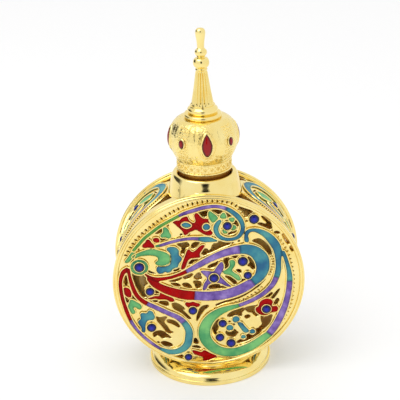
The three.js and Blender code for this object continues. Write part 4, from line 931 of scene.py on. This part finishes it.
# dark brown metal, a painted shade for the gap between the cap and the collar
raw_brass = plain("raw_brass", (0.42, 0.21, 0.04), 0.4, 500, 0.00004, Metallic=1.0)
amber_glass = plain("amber_glass", (1.0, 0.74, 0.2), 0.2, 60, 0.00002, Transmission_Weight=0.15, IOR=1.45)
felt = plain("dark_felt", (0.075, 0.068, 0.062), 0.95, 2600, 0.0002, Sheen_Weight=0.4)
steel = plain("machined_steel", (0.62, 0.62, 0.61), 0.3, 800, 0.00003, Metallic=1.0)
ivory = plain("ivory_plastic", (0.86, 0.83, 0.75), 0.42, 500, 0.00003)
foam = plain("seal_rubber", (0.72, 0.70, 0.65), 0.75, 1500, 0.00006)


# Pieces
def linked(name, data):
    """An object of the scene with this data."""
    item = bpy.data.objects.new(name, data)
    bpy.context.scene.collection.objects.link(item)
    return item


def finish(name, work, material, body, replaced=(), sharp=40):
    mesh = bpy.data.meshes.new(name)
    mesh.from_pydata([tuple(place) for place in np.vstack(work.places) * MM], [], work.faces)
    mesh.shade_smooth()
    mesh.set_sharp_from_angle(angle=math.radians(sharp))
    inset = mesh.attributes.new("inset", "FLOAT", "POINT")
    inset.data.foreach_set("value", np.concatenate(work.insets).astype(np.float32))
    mesh.materials.append(material)
    keep(linked(name, mesh), body, replaced)


def keep(piece, body, replaced=()):
    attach(piece, body)
    if replaced:
        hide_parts(*replaced)


def growing_tree(name, **inputs):
    """A Geometry Nodes tree with these kinds of inputs, and the outputs that give them."""
    group = bpy.data.node_groups.new(name, "GeometryNodeTree")
    for label, kind in {"Geometry": "Geometry", **inputs, "Material": "Material"}.items():
        group.interface.new_socket(label.replace("_", " "), in_out="INPUT", socket_type="NodeSocket" + kind)
    group.interface.new_socket("Geometry", in_out="OUTPUT", socket_type="NodeSocketGeometry")
    return group, Tree(group), group.nodes.new("NodeGroupInput").outputs


def end_tree(tree, scattered, material):
    """Makes one smooth mesh of what is scattered, in the material, and ends the tree with it."""
    solid = tree.add("GeometryNodeRealizeInstances", {0: scattered})
    smoothed = tree.add("GeometryNodeSetShadeSmooth", {0: solid})
    dressed = tree.add("GeometryNodeSetMaterial", {0: smoothed, "Material": material})
    tree.links.new(dressed, tree.nodes.new("NodeGroupOutput").inputs[0])


def bead_row_tree():
    """Beads at an even pitch along the lines of a mesh."""
    group, tree, given = growing_tree("bead_row", Pitch="Float", Bead_Radius="Float")
    line = tree.add("GeometryNodeMeshToCurve", {0: given["Geometry"]})
    spread = tree.add("GeometryNodeResampleCurve", {0: line, "Length": given["Pitch"]}, mode="LENGTH")
    ball = tree.add("GeometryNodeMeshIcoSphere", {"Radius": given["Bead Radius"], "Subdivisions": 2})
    end_tree(tree, tree.add("GeometryNodeInstanceOnPoints", {0: spread, "Instance": ball}), given["Material"])
    return group


def floret_tree():
    """A floret of beads on each point of a mesh, facing away from the Z axis."""
    group, tree, given = growing_tree("florets", Petals="Int", Petal_Radius="Float", Spread="Float")
    ball = tree.add("GeometryNodeMeshIcoSphere", {"Radius": given["Petal Radius"], "Subdivisions": 2})
    ring = tree.add("GeometryNodeMeshCircle", {"Vertices": given["Petals"], "Radius": given["Spread"]})
    petals = tree.add("GeometryNodeInstanceOnPoints", {0: ring, "Instance": ball})
    floret = tree.add("GeometryNodeJoinGeometry", {0: petals})
    tree.feed(floret.node.inputs[0], ball)
    place = tree.add("GeometryNodeInputPosition")
    out = tree.add("ShaderNodeVectorMath", {0: place, 1: (1, 1, 0)}, operation="MULTIPLY")
    facing = tree.add("FunctionNodeAlignRotationToVector", {"Vector": out}, axis="Z")
    scattered = tree.add("GeometryNodeInstanceOnPoints",
                         {0: given["Geometry"], "Instance": floret, "Rotation": facing})
    end_tree(tree, scattered, given["Material"])
    return group


def grown(name, tree, places, edges, body, **sizes):
    """A gilt piece that a tree makes from a mesh of points or lines, as a plain mesh."""
    mesh = bpy.data.meshes.new(name)
    mesh.from_pydata([tuple(place) for place in np.asarray(places) * MM], edges, [])
    piece = linked(name, mesh)
    modifier = piece.modifiers.new("grown", "NODES")
    modifier.node_group = tree
    for socket in tree.interface.items_tree:
        label = socket.name.replace(" ", "_")
        if label in sizes:
            modifier[socket.identifier] = sizes[label]
    bpy.context.view_layer.update()
    evaluated = piece.evaluated_get(bpy.context.evaluated_depsgraph_get())
    result = bpy.data.meshes.new_from_object(evaluated)
    piece.modifiers.clear()
    piece.data = result
    keep(piece, body)


bead_row = bead_row_tree()
florets = floret_tree()


def open_runs(loop, blocked):
    """The parts of a closed line that aren't blocked, as lines, with whether each is still closed."""
    if not blocked.any():
        return [(loop, True)]
    start = int(np.argmax(blocked))
    loop, blocked = np.roll(loop, -start, axis=0), np.roll(blocked, -start)
    runs = []
    run = []
    for place, stop in zip([*loop, loop[0]], [*blocked, True]):
        if not stop:
            run.append(place)
        elif run:
            runs.append((np.array(run), False))
            run = []
    return [(line, closed) for line, closed in runs if len(line) > 3]


def add_wires(work, lay, loops, blockers, radius):
    for loop in loops:
        line = evened(loop, WIRE_STEP, ease=2)
        for run, closed in open_runs(line, inside_any(line, blockers)):
            add_tube(work, lay, run, radius, WIRE_HEIGHT, closed)


def add_bezel(work, lay, x, y, radius):
    """A stone's bezel: a low conical cup with a rounded lip."""
    lip = radius + 0.5 * BEZEL_WIDTH
    profile = [(radius - 0.05, -0.3), (radius + BEZEL_WIDTH, -0.3), (radius + BEZEL_WIDTH, 0.2),
               *arc(lip, 0.48, 0.5 * BEZEL_WIDTH, 0.2, 0, 180, 6), (radius - 0.05, 0.3)]
    places, faces = turned_places(profile, 24)
    work.add(lay(places + (x, y, 0)), faces)


def add_cabochon(work, lay, x, y, radius, low=0.1, girdle=0.42, top=STONE_TOP):
    dome = arc(0, girdle, radius, top - girdle, 0, 90, 6)
    places, faces = turned_places([(0, low), (radius, low), *dome], 24)
    inset = 1 - np.hypot(places[:, 0], places[:, 1]) / radius
    work.add(lay(places + (x, y, 0)), faces, inset)


def enamel_top(drop=0.0):
    """Height of the enamel: it climbs to the wires and dips between them."""
    return lambda distance: ENAMEL_EDGE - drop - ENAMEL_DIP * np.clip(distance / 0.5, 0, 1) ** 0.5


def rounded_top(bevel):
    """Height of a plate whose upper edge is a quarter round."""
    return lambda distance: np.sqrt(
        np.maximum(bevel ** 2 - (bevel - np.minimum(distance, bevel)) ** 2, 0)) - bevel


# What panels and walls share
def make_openwork(side, node, lay, loops, spacing, low, wires, stones, seats):
    """The pierced plate, with its wires and the bezels of its stones."""
    plate = Work()
    add_slab(plate, lay, loops, spacing, PLATE_BEVEL, low, rounded_top(PLATE_BEVEL), None)
    for wire_loops, radius in wires:
        add_wires(plate, lay, wire_loops, seats, radius)
    for stone in stones:
        add_bezel(plate, lay, *stone)
    finish(f"{side}_openwork", plate, cast_gold, "bottle", [node])


def make_enamel(name, lay, fields, spacing, colour, replaced=()):
    """A piece of fired enamel in one colour, from its fields."""
    work = Work()
    for loops, drop in fields:
        if loops:
            loops = [evened(loop, BORDER_STEP) for loop in loops]
            add_slab(work, lay, loops, spacing, ENAMEL_BEVEL, ENAMEL_LOW, enamel_top(drop))
    finish(name, work, enamels[colour], "bottle", replaced)


def make_stones(side, lay, stones):
    work = Work()
    for stone in stones:
        add_cabochon(work, lay, *stone)
    finish(f"{side}_blue_stones", work, cobalt_stone, "bottle")


def make_beads(name, lay, lines, pitch, radius, height):
    """Beads along the lines, with their middles at the height."""
    places = []
    edges = []
    for line in lines:
        first = len(places)
        places.extend(lay(lifted(line, height)))
        edges.extend((i, i + 1) for i in range(first, len(places) - 1))
    grown(name, bead_row, places, edges, "bottle",
          Pitch=pitch * MM, Bead_Radius=radius * MM, Material=polished_gold)


# Panels
scrolls = chained_outlines(CHAINS)
scroll_lines = [line for _, line in scrolls]
seats = stone_seats(STONES)
inlays = [circle(*place, 16) for place in INLAYS] + [widened(smooth(LOZENGE, 3, True), INLAY_MARGIN)]
leaves = {name: [rounded(points, LEAF_MARGIN) for points in outlines] for name, outlines in LEAVES.items()}
leaf_lines = [line for lines in leaves.values() for line in lines] + inlays
crest_places = evened(smooth(CREST_BEADS, 8), NICK_PITCH, closed=False)

hole_lines = [rounded(points, HOLE_MARGIN) for points in PIERCINGS]
hole_lines += [circle(x, y, PINHOLE_RADIUS, 12) for x, y in PINHOLES]
hole_lines += scroll_outlines([("", LONG_SLOT)], margin=0)
hole_lines += nicks(crest_places, *NICK_SIZE)
for row in [ARM_BEADS, *INNER_BEADS]:
    hole_lines += nicks(evened(smooth(row, 8), SMALL_NICK_PITCH, closed=False), *SMALL_NICK_SIZE)
holes = region(hole_lines, scroll_lines + leaf_lines + seats)
ring_line = circle(0, -DRAWING_RISE, PANEL_RADIUS, 180)
panel_loops = [evened(loop, BORDER_STEP, ease=1) for loop in region([ring_line], holes)]
panel_fields = enamel_fields(scrolls, leaves, inlays, seats)
panel_wires = [(chain_borders(CHAINS), WIRE_RADIUS),
               (leaf_borders(leaf_lines, scroll_lines), LEAF_WIRE_RADIUS)]
# Each row of beads: its lines, then their pitch, radius and height
panel_beads = {
    "crest": ([(crest_places[:-1] + crest_places[1:]) / 2], NICK_PITCH, 0.42, 0.02),
    "inner": ([smooth(line, 6) for line in INNER_BEADS], 0.72, 0.24, 0.05),
    "arm": ([smooth(ARM_BEADS, 6)], 0.72, 0.22, 0.03),
}


def make_rim(face, place):
    """A polished rim with a stepped skirt and a rolled crest."""
    step = 0.3
    back = PANEL_FACE - 0.05
    skirt = [(RIM_INSIDE - 0.2, back), (RIM_INSIDE + 0.3, back), (RIM_INSIDE + 0.3, RIM_BACK),
             (SKIRT_RADIUS, RIM_BACK), (SKIRT_RADIUS, RIM_STEP - step),
             *arc(SKIRT_RADIUS + step, RIM_STEP - step, step, step, 180, 90, 4),
             *arc(DRUM_RADIUS - step, RIM_STEP + step, step, step, -90, 0, 4)]
    crest = [*arc(DRUM_RADIUS - 0.5, 12.2, 0.5, 0.5, 0, 100, 8), (DRUM_RADIUS - 0.66, 12.52),
             *arc(29.9, 12.1, 0.6, RIM_CREST - 12.1, 28, 180, 12)]
    rim = turned_work(skirt + crest, sides=192, shape=place)
    finish(f"{face}_rolled_rim", rim, polished_gold, "bottle", [f"{face}_rim"], sharp=30)


for face, place in (("front", on_front), ("back", on_back)):
    lay = raised(place, PANEL_FACE, DRAWING_RISE)
    make_openwork(face, f"{face}_panel", lay, panel_loops, PANEL_GRID, PANEL_BACK - PANEL_FACE, panel_wires,
                  STONES, seats)
    for name, fields in panel_fields.items():
        node = f"{face}_{name}"
        replaced = [node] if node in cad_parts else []
        colour = name.split("_")[1]
        make_enamel(f"{face}_fired_{name}", lay, fields, PANEL_ENAMEL_GRID, colour, replaced)
    make_stones(face, lay, STONES)
    for row, beads in panel_beads.items():
        make_beads(f"{face}_{row}_beads", lay, *beads)
    make_rim(face, place)


# Side walls
def turned_over(points):
    return [(2 * SIDE_MIDDLE - x, -y, *width) for x, y, *width in points]


def mirror(points):
    """The left wall's drawing: the right one's mirror image, a little nearer the back."""
    return [(x, -(0.9 * y + 2.2), *width) for x, y, *width in points]


def drum_hole(radius, middle):
    """A round hole through the wall at the drum's top or bottom, in the wall's drawing."""
    flat = circle(0, 0, radius, 48)
    return np.column_stack([middle + WALL_RADIUS * np.arcsin(flat[:, 0] / WALL_RADIUS), flat[:, 1]])


def both_halves(drawings, flip):
    """The drawings of the upper half, and those of the lower one."""
    return [flip(points) for points in [*drawings, *(turned_over(points) for points in drawings)]]


near, far = WALL_GAP, math.pi * WALL_RADIUS - WALL_GAP
wall_line = np.array([(near, -WALL_HALF), (far, -WALL_HALF), (far, WALL_HALF), (near, WALL_HALF)])
wall_line = evened(wall_line, WALL_BORDER_STEP)
wall_holes = [drum_hole(NECK_HOLE, 0), drum_hole(SCREW_HOLE, math.pi * WALL_RADIUS)]
for side, place, flip in (("right", on_right, list), ("left", on_left, mirror)):
    lay = raised(place, WALL_RADIUS)
    chains = [[(name, flip(turn(points))) for name, points in chain]
              for chain in SIDE_CHAINS for turn in (list, turned_over)]
    scrolls = chained_outlines(chains)
    scroll_lines = [line for _, line in scrolls]
    stones = flip([*SIDE_STONES, *turned_over(SIDE_STONES)])
    seats = stone_seats(stones)
    leaves = {name: [rounded(points) for points in both_halves(drawn, flip)]
              for name, drawn in SIDE_LEAVES.items()}
    leaf_lines = [line for lines in leaves.values() for line in lines]
    hole_lines = [rounded(points) for points in both_halves(SIDE_PIERCINGS, flip)]
    holes = region(hole_lines, scroll_lines + leaf_lines + seats)
    loops = [evened(loop, WALL_BORDER_STEP, ease=1) for loop in region([wall_line], wall_holes + holes)]
    wires = [(chain_borders(chains), WALL_WIRE_RADIUS),
             (leaf_borders(leaf_lines, scroll_lines), WALL_LEAF_WIRE_RADIUS)]
    make_openwork(side, f"{side}_side_wall", lay, loops, WALL_GRID, WALL_INSIDE - WALL_RADIUS, wires,
                  stones, seats)
    for colour, fields in sorted(enamel_fields(scrolls, leaves, [], seats).items()):
        make_enamel(f"{side}_fired_{colour}", lay, fields, WALL_ENAMEL_GRID, colour)
    make_stones(side, lay, stones)
    beads = [smooth(points, 6) for points in both_halves([SIDE_BEADS], flip)]
    make_beads(f"{side}_beads", lay, beads, pitch=0.8, radius=0.26, height=0.1)


# Collar, sleeve and foot
def drum_height(places):
    """The drum's upper surface above a place: the wall's, rising to the rims' towards the front and back."""
    share = np.clip((np.abs(places[:, 1]) - RIM_BACK + 0.3) / 0.5, 0, 1)
    local = WALL_RADIUS + (SKIRT_RADIUS - WALL_RADIUS) * share * share * (3 - 2 * share)
    return np.sqrt(local ** 2 - places[:, 0] ** 2)


def seated_collar(places):
    share = np.clip((COLLAR_BEND - places[:, 2]) / (COLLAR_BEND - COLLAR_LOW), 0, 1)
    share = share * share * (3 - 2 * share)
    surface = AXIS_HEIGHT + drum_height(places) - 0.35
    places[:, 2] += share * (surface - COLLAR_LOW)
    return places


def seated_foot(places):
    surface = AXIS_HEIGHT - drum_height(places) + 0.25
    places[:, 2] = np.where(places[:, 2] > FOOT_SEAT, surface, places[:, 2])
    return places


collar = turned_work([
    (8.35, COLLAR_LOW), (12, COLLAR_LOW), (11.75, 62), *curve([
        (11.55, 62.9), (11.3, 64.2), (10.95, 65.8), (10.6, 67.1), (10.2, 67.9), (9.75, 68.25), (9.3, 68.25),
        (8.95, 67.95), (8.6, 67.3)], 4),
    (8.35, 67)], sides=160, shape=seated_collar)
finish("collar_dish", collar, polished_gold, "bottle", ["neck_collar"])
sleeve = turned_work([
    (SLEEVE_BORE, SLEEVE_BOTTOM), (SLEEVE_RADIUS, SLEEVE_BOTTOM), (SLEEVE_RADIUS, SLEEVE_TOP - 0.2),
    *arc(SLEEVE_RADIUS - 0.2, SLEEVE_TOP - 0.2, 0.2, 0.2, 0, 90, 3),
    *arc(SLEEVE_BORE + 0.2, SLEEVE_TOP - 0.2, 0.2, 0.2, 90, 180, 3)])
# the sleeve is painted dark brown as shade in the gap below the cap
finish("collar_sleeve", sleeve, raw_brass, "bottle", ["neck_sleeve"])
foot = turned_work([
    (0, 0.9), (18.1, 0.9), (18.1, 0.1), (18.2, 0), (20.3, 0), *arc(20.2, 0.3, 0.3, 0.3, -70, 0, 4),
    *arc(20.2, 1.2, 0.3, 0.3, 0, 90, 4), (20.05, 1.4), *arc(16.3, 1.5, 3.6, 2.2, 4, 90, 14),
    *curve([(15.6, 3.62), (14.9, 3.38), (14.1, 3.1), (13.3, 2.97)], 4), (13.1, 3.1), (13.1, 6), (0, 6)],
    sides=160, shape=seated_foot)
finish("turned_foot", foot, polished_gold, "bottle", ["foot"])


# Cap
def crown_radius(height):
    climb = np.clip((height - BAND_HIGH) / (BELLY - BAND_HIGH), 0, 1)
    lower = BAND_RADIUS + (DOME_RADIUS - BAND_RADIUS) * np.sin(climb * math.pi / 2)
    share = np.clip((height - BELLY) / (DOME_TOP - BELLY), 0, 1)
    upper = DOME_TOP_RADIUS + (DOME_RADIUS - DOME_TOP_RADIUS) * np.sqrt(1 - share ** 2)
    return np.where(height < BELLY, lower, upper)


def from_stone(turns):
    """Degrees from the nearest large stone's middle."""
    return (np.degrees(turns) + 90 - CROWN_TURN + 45) % 90 - 45


def pushed(places, turns, move):
    """The places moved away from the Z axis."""
    places[:, 0] += move * np.cos(turns)
    places[:, 1] += move * np.sin(turns)
    return places


def lobed(places):
    """The dome's outside: a plain lobe behind each large stone, then a rib, and a chased ground between."""
    radius = np.hypot(places[:, 0], places[:, 1])
    turns = np.arctan2(places[:, 1], places[:, 0])
    off = np.abs(from_stone(turns))
    outside = radius > crown_radius(places[:, 2]) - 0.3
    height = np.clip((places[:, 2] - BAND_HIGH) / 1.4, 0, 1) * np.clip((DOME_TOP - places[:, 2]) / 1.2, 0, 1)
    lobe = 0.2 * np.clip((LOBE_EDGE - off) / 5, 0, 1) ** 0.5
    rib = 0.16 * np.sqrt(np.clip(1 - ((off - (LOBE_EDGE + RIB_EDGE) / 2) / 5.5) ** 2, 0, 1))
    sink = -0.1 * np.clip((off - RIB_EDGE) / 3, 0, 1)
    return pushed(places, turns, np.where(outside, (lobe + rib + sink) * height, 0))


upper_heights = BELLY + (DOME_TOP - BELLY) * np.sin(np.linspace(0, math.pi / 2, 24)[1:])
heights = np.concatenate([np.linspace(BAND_HIGH, BELLY, 26), upper_heights])
outer = [(float(crown_radius(z)), float(z)) for z in heights]
inner = [(max(float(crown_radius(z)) - CAP_WALL, BAND_INSIDE), float(z))
         for z in np.linspace(DOME_TOP - CAP_WALL, BAND_HIGH, 14)]
dome = turned_work([*outer, (STUD_HOLE, DOME_TOP), (STUD_HOLE, DOME_TOP - CAP_WALL), *inner],
                   sides=360, shape=lobed)


def on_crown(turn):
    """From a drawing of a crown stone, across and up from its middle, to the dome."""
    def lay(places):
        height = STONE_MIDDLE + places[:, 1]
        depth = np.sqrt(np.maximum(crown_radius(height) ** 2 - places[:, 0] ** 2, 0)) + places[:, 2]
        angle = math.radians(turn)
        return np.column_stack([places[:, 0] * math.cos(angle) + depth * math.sin(angle),
                                places[:, 0] * math.sin(angle) - depth * math.cos(angle), height])
    return lay


def drop_line(width, height, margin=0.0):
    """The outline of a drop: a point above and a round end below."""
    turns = np.linspace(0, 2 * math.pi, 48, endpoint=False)
    up = np.cos(turns)
    across = np.sin(turns) * (1 - 0.42 * np.clip(up, 0, 1) ** 1.3 - 0.1 * np.clip(-up, 0, 1))
    line = np.column_stack([(width / 2) * across * 1.06, (height / 2) * up])
    return (line * (1 + 2 * margin / np.array([width, height])))[::-1]


def oval_line(width, height, margin=0.0):
    return circle(0, 0, 1, 24) * (width / 2 + margin, height / 2 + margin)


def swollen_top(swell, half):
    """Height of a red stone, which swells from its border to its middle."""
    return lambda distance: 0.35 + swell * np.sqrt(np.clip(distance / half, 0, 1))


# Each kind of red stone: its outline, first turn, width, height, swell, and its bezel's wire
for kind, outline, start, width, height, swell, wire in (
        ("large", drop_line, 0, 3.0, 7.1, 0.45, 0.34), ("small", oval_line, 45, 1.9, 2.7, 0.3, 0.22)):
    for i in range(4):
        lay = on_crown(CROWN_TURN + start + 90 * i)
        stone = Work()
        line = evened(outline(width, height), 0.25)
        add_slab(stone, lay, [line], 0.35, 0.2, -0.4, swollen_top(swell, width / 2))
        finish(f"{kind}_ruby_{i + 1}", stone, ruby_stone, "cap", [f"{kind}_stone_{i + 1}"])
        add_tube(dome, lay, evened(outline(width, height, wire), 0.25), wire, 0.22, sides=8)
        if kind == "large":
            add_tube(dome, lay, evened(outline(width, height, 1.15), 0.3), 0.16, 0.18, sides=6)
finish("crown_shell", dome, chased_gold, "cap", ["crown_dome"])

band = turned_work([
    (BAND_INSIDE, BAND_LOW), (BAND_RADIUS - 0.1, BAND_LOW),
    *arc(BAND_RADIUS - 0.12, BAND_LOW + 0.32, 0.3, 0.32, -90, 90, 8),
    (BAND_RADIUS - 0.25, BAND_LOW + 0.7), (BAND_RADIUS - 0.25, BAND_HIGH - 0.62),
    *arc(BAND_RADIUS - 0.12, BAND_HIGH - 0.3, 0.26, 0.28, -90, 90, 8), (BAND_INSIDE, BAND_HIGH)], sides=160)
finish("chased_band", band, chased_gold, "cap", ["crown_band"])


def ring_places(count, radius, height, start=0.0):
    turns = np.radians(start + np.arange(count) * 360 / count)
    return np.column_stack([radius * np.cos(turns), radius * np.sin(turns), np.full(count, height)])


def add_florets(name, places, petals, petal_radius, spread):
    grown(name, florets, places, [], "cap", Petals=petals, Petal_Radius=petal_radius * MM, Spread=spread * MM,
          Material=chased_gold)


middle = (BAND_LOW + BAND_HIGH) / 2
add_florets("band_florets", ring_places(BAND_FLORETS, BAND_RADIUS - 0.18, middle), 5, 0.24, 0.5)
buds = np.vstack([ring_places(BAND_FLORETS, BAND_RADIUS - 0.22, middle + side * 0.72, 180 / BAND_FLORETS)
                  for side in (-1, 1)])
add_florets("band_buds", buds, 3, 0.16, 0.24)

rng = np.random.default_rng(7)
specks = []
for quarter in range(4):
    for row in range(SPECK_ROWS):
        height = between(BAND_HIGH + 1.2, DOME_TOP - 1.5, row / (SPECK_ROWS - 1))
        for step in range(SPECKS_IN_ROW):
            off = (step - (SPECKS_IN_ROW - 1) / 2) * SPECK_PITCH
            turn = 45 + off + (row % 2) * 1.5 + rng.uniform(-0.6, 0.6)
            height_here = height + rng.uniform(-0.2, 0.2)
            across = (turn - 45) * math.pi / 180 * float(crown_radius(height_here))
            if math.hypot(across / 1.5, (height_here - STONE_MIDDLE) / 1.9) < 1:
                continue
            angle = math.radians(CROWN_TURN + 90 * quarter + turn)
            radius = float(crown_radius(height_here)) - 0.12
            specks.append((radius * math.sin(angle), -radius * math.cos(angle), height_here))
add_florets("crown_chasing", specks, 3, 0.15, 0.2)


# Spire
def spire_piece(name, node, low, high, outline, sides=64, shape=None):
    work = turned_work([(STUD_HOLE, low), *outline, (STUD_HOLE, high)], sides=sides, shape=shape)
    finish(name, work, polished_gold, "cap", [node])


def fluted(places):
    """Reeds up the cone that run out at its ends."""
    radius = np.hypot(places[:, 0], places[:, 1])
    turns = np.arctan2(places[:, 1], places[:, 0])
    to_end = np.minimum(places[:, 2] - UPPER_RING_TOP - 0.25, CONE_TOP - 0.25 - places[:, 2])
    share = np.clip(to_end / 0.5, 0, 1)
    reed = (1 - np.abs(np.cos(turns * REEDS / 2))) ** 1.4
    depth = REED_DEPTH * reed * share * np.where(radius > 1.2, 1, 0)
    return pushed(places, turns, -depth)


spire_piece("spire_base_ring", "lower_ring", DOME_TOP, LOWER_RING_TOP,
            [(5.6, DOME_TOP), *arc(5.45, 87.2, 0.6, 0.7, -70, 80, 10), (5.3, LOWER_RING_TOP)], 96)
spire_piece("spire_upper_ring", "upper_ring", LOWER_RING_TOP, UPPER_RING_TOP,
            [(4.5, LOWER_RING_TOP), *arc(4.2, 88.85, 0.65, 0.9, -75, 60, 10),
             *curve([(4.3, 89.85), (4.05, 90.1), (3.95, 90.5)], 4)], 96)
spire_piece("fluted_cone", "spire_cone", UPPER_RING_TOP, CONE_TOP,
            [(3.6, UPPER_RING_TOP),
             *curve([(3.55, 90.75), (3.2, 92.6), (2.72, 95.4), (2.3, 98.2), (1.95, 100.6), (1.78, 101.5)], 5),
             (1.75, CONE_TOP)], 216, fluted)
spire_piece("round_bead", "large_bead", CONE_TOP, LARGE_BEAD_TOP,
            [(1.75, CONE_TOP), (1.95, 102.0), (1.75, 102.3), *arc(1.2, 104.1, 1.35, 1.75, -65, 62, 14),
             *curve([(1.5, 105.75), (1.25, 105.9), (1.2, LARGE_BEAD_TOP)], 3)])
spire_piece("upper_bead", "small_bead", LARGE_BEAD_TOP, SMALL_BEAD_TOP,
            [(1.2, LARGE_BEAD_TOP), *arc(0.9, 107.4, 1.03, 1.2, -60, 66, 12), (1.12, SMALL_BEAD_TOP)])
tip = turned_work([
    (STUD_HOLE, SMALL_BEAD_TOP), (1.1, SMALL_BEAD_TOP), *curve([
        (1.1, 108.9), (1.12, 109.8), (1.25, 111.1), (1.48, 112.6), (1.57, 113.6), (1.45, 114.4),
        (1.0, 114.95)], 5),
    (0.4, 115.07), (0.001, TIP_TOP), (0.001, 112.1), (STUD_HOLE, 112.1)], sides=48)
finish("spire_tip", tip, polished_gold, "cap", ["tip"])

# Glass, seals and hardware keep their own solids
FINISHES = {
    "glass_flask": amber_glass, "applicator_rod": clear_glass, "flask_cushion": foam, "neck_gasket": foam,
    "sealing_liner": foam, "threaded_insert": ivory, "foot_pad": felt, "foot_screw": steel, "foot_nut": steel,
    "spire_stud": steel,
}
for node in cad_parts:
    solid = bpy.data.objects[node].data
    solid.materials.clear()
    solid.materials.append(FINISHES.get(node, cast_gold))


# Floor, light and camera
def add_camera():
    place = Vector((math.sin(CAMERA_AZIMUTH) * CAMERA_DISTANCE, -math.cos(CAMERA_AZIMUTH) * CAMERA_DISTANCE,
                    CAMERA_HEIGHT)) * MM
    yaw = CAMERA_AZIMUTH + CAMERA_YAW
    forward = Vector((-math.sin(yaw) * math.cos(CAMERA_PITCH), math.cos(yaw) * math.cos(CAMERA_PITCH),
                      -math.sin(CAMERA_PITCH)))
    right = forward.cross(Vector((0, 0, 1))).normalized()
    up = right.cross(forward)
    turned_right = right * math.cos(CAMERA_ROLL) + up * math.sin(CAMERA_ROLL)
    turned_up = up * math.cos(CAMERA_ROLL) - right * math.sin(CAMERA_ROLL)
    data = bpy.data.cameras.new("camera")
    data.sensor_width = SENSOR_WIDTH
    data.lens = FOCAL_PIXELS / FRAME_PIXELS * SENSOR_WIDTH
    data.clip_start = 0.01
    data.clip_end = 10
    camera = linked("camera", data)
    camera.matrix_world = Matrix((
        (turned_right.x, turned_up.x, -forward.x, place.x),
        (turned_right.y, turned_up.y, -forward.y, place.y),
        (turned_right.z, turned_up.z, -forward.z, place.z),
        (0, 0, 0, 1)))
    bpy.context.scene.camera = camera


def add_floor():
    """A white floor that glows a little where it is seen, directly, in a reflection or through glass."""
    half = 1.5
    corners = [(-half, -half, 0), (half, -half, 0), (half, half, 0), (-half, half, 0)]
    mesh = bpy.data.meshes.new("floor")
    mesh.from_pydata(corners, [], [(0, 1, 2, 3)])
    floor = linked("floor", mesh)
    material, tree, shader = material_of("floor_white", Roughness=0.7)
    shader["Base Color"].default_value = (0.88, 0.88, 0.88, 1)
    shader["Emission Color"].default_value = (1, 1, 1, 1)
    rays = tree.nodes.new("ShaderNodeLightPath").outputs
    seen = rays["Is Camera Ray"]
    for ray in ("Is Glossy Ray", "Is Transmission Ray"):
        seen = tree.combine("MAXIMUM", seen, rays[ray])
    tree.feed(shader["Emission Strength"], tree.combine("MULTIPLY", seen, FLOOR_LIFT))
    floor.data.materials.append(material)


def add_lamp(name, place, size, power):
    data = bpy.data.lights.new(name, "AREA")
    data.size = size
    data.energy = power
    lamp = linked(name, data)
    lamp.location = place
    lamp.rotation_euler = (Vector((0, 0, 0.05)) - lamp.location).to_track_quat("-Z", "Y").to_euler()


def set_world():
    """A white tent with the dark places that the gold mirrors: round the camera, and at the far left."""
    world = bpy.data.worlds.new("studio")
    world.use_nodes = True
    tree = Tree(world.node_tree)
    light = 1
    for direction, inner, outer, darkness in DARK_PLACES:
        dot = tree.add("ShaderNodeVectorMath", {
            0: tree.add("ShaderNodeTexCoord", output="Generated"),
            1: Vector(direction).normalized()}, "Value", operation="DOT_PRODUCT")
        spot = tree.add("ShaderNodeMapRange", {
            "From Min": math.cos(math.radians(outer)), "From Max": math.cos(math.radians(inner)),
            "To Min": 1, "To Max": 1 - darkness, "Value": dot})
        light = tree.combine("MULTIPLY", light, spot)
    light = tree.combine("MAXIMUM", light, tree.add("ShaderNodeLightPath", output="Is Camera Ray"))
    background = world.node_tree.nodes["Background"].inputs
    tree.feed(background["Strength"], tree.combine("MULTIPLY", light, WORLD_STRENGTH))
    background["Color"].default_value = (1, 1, 1, 1)
    bpy.context.scene.world = world
    bpy.context.scene.view_settings.view_transform = "Standard"


add_camera()
add_floor()
add_lamp("key", (-0.25, -0.15, 0.6), 0.4, 0.9)
set_world()
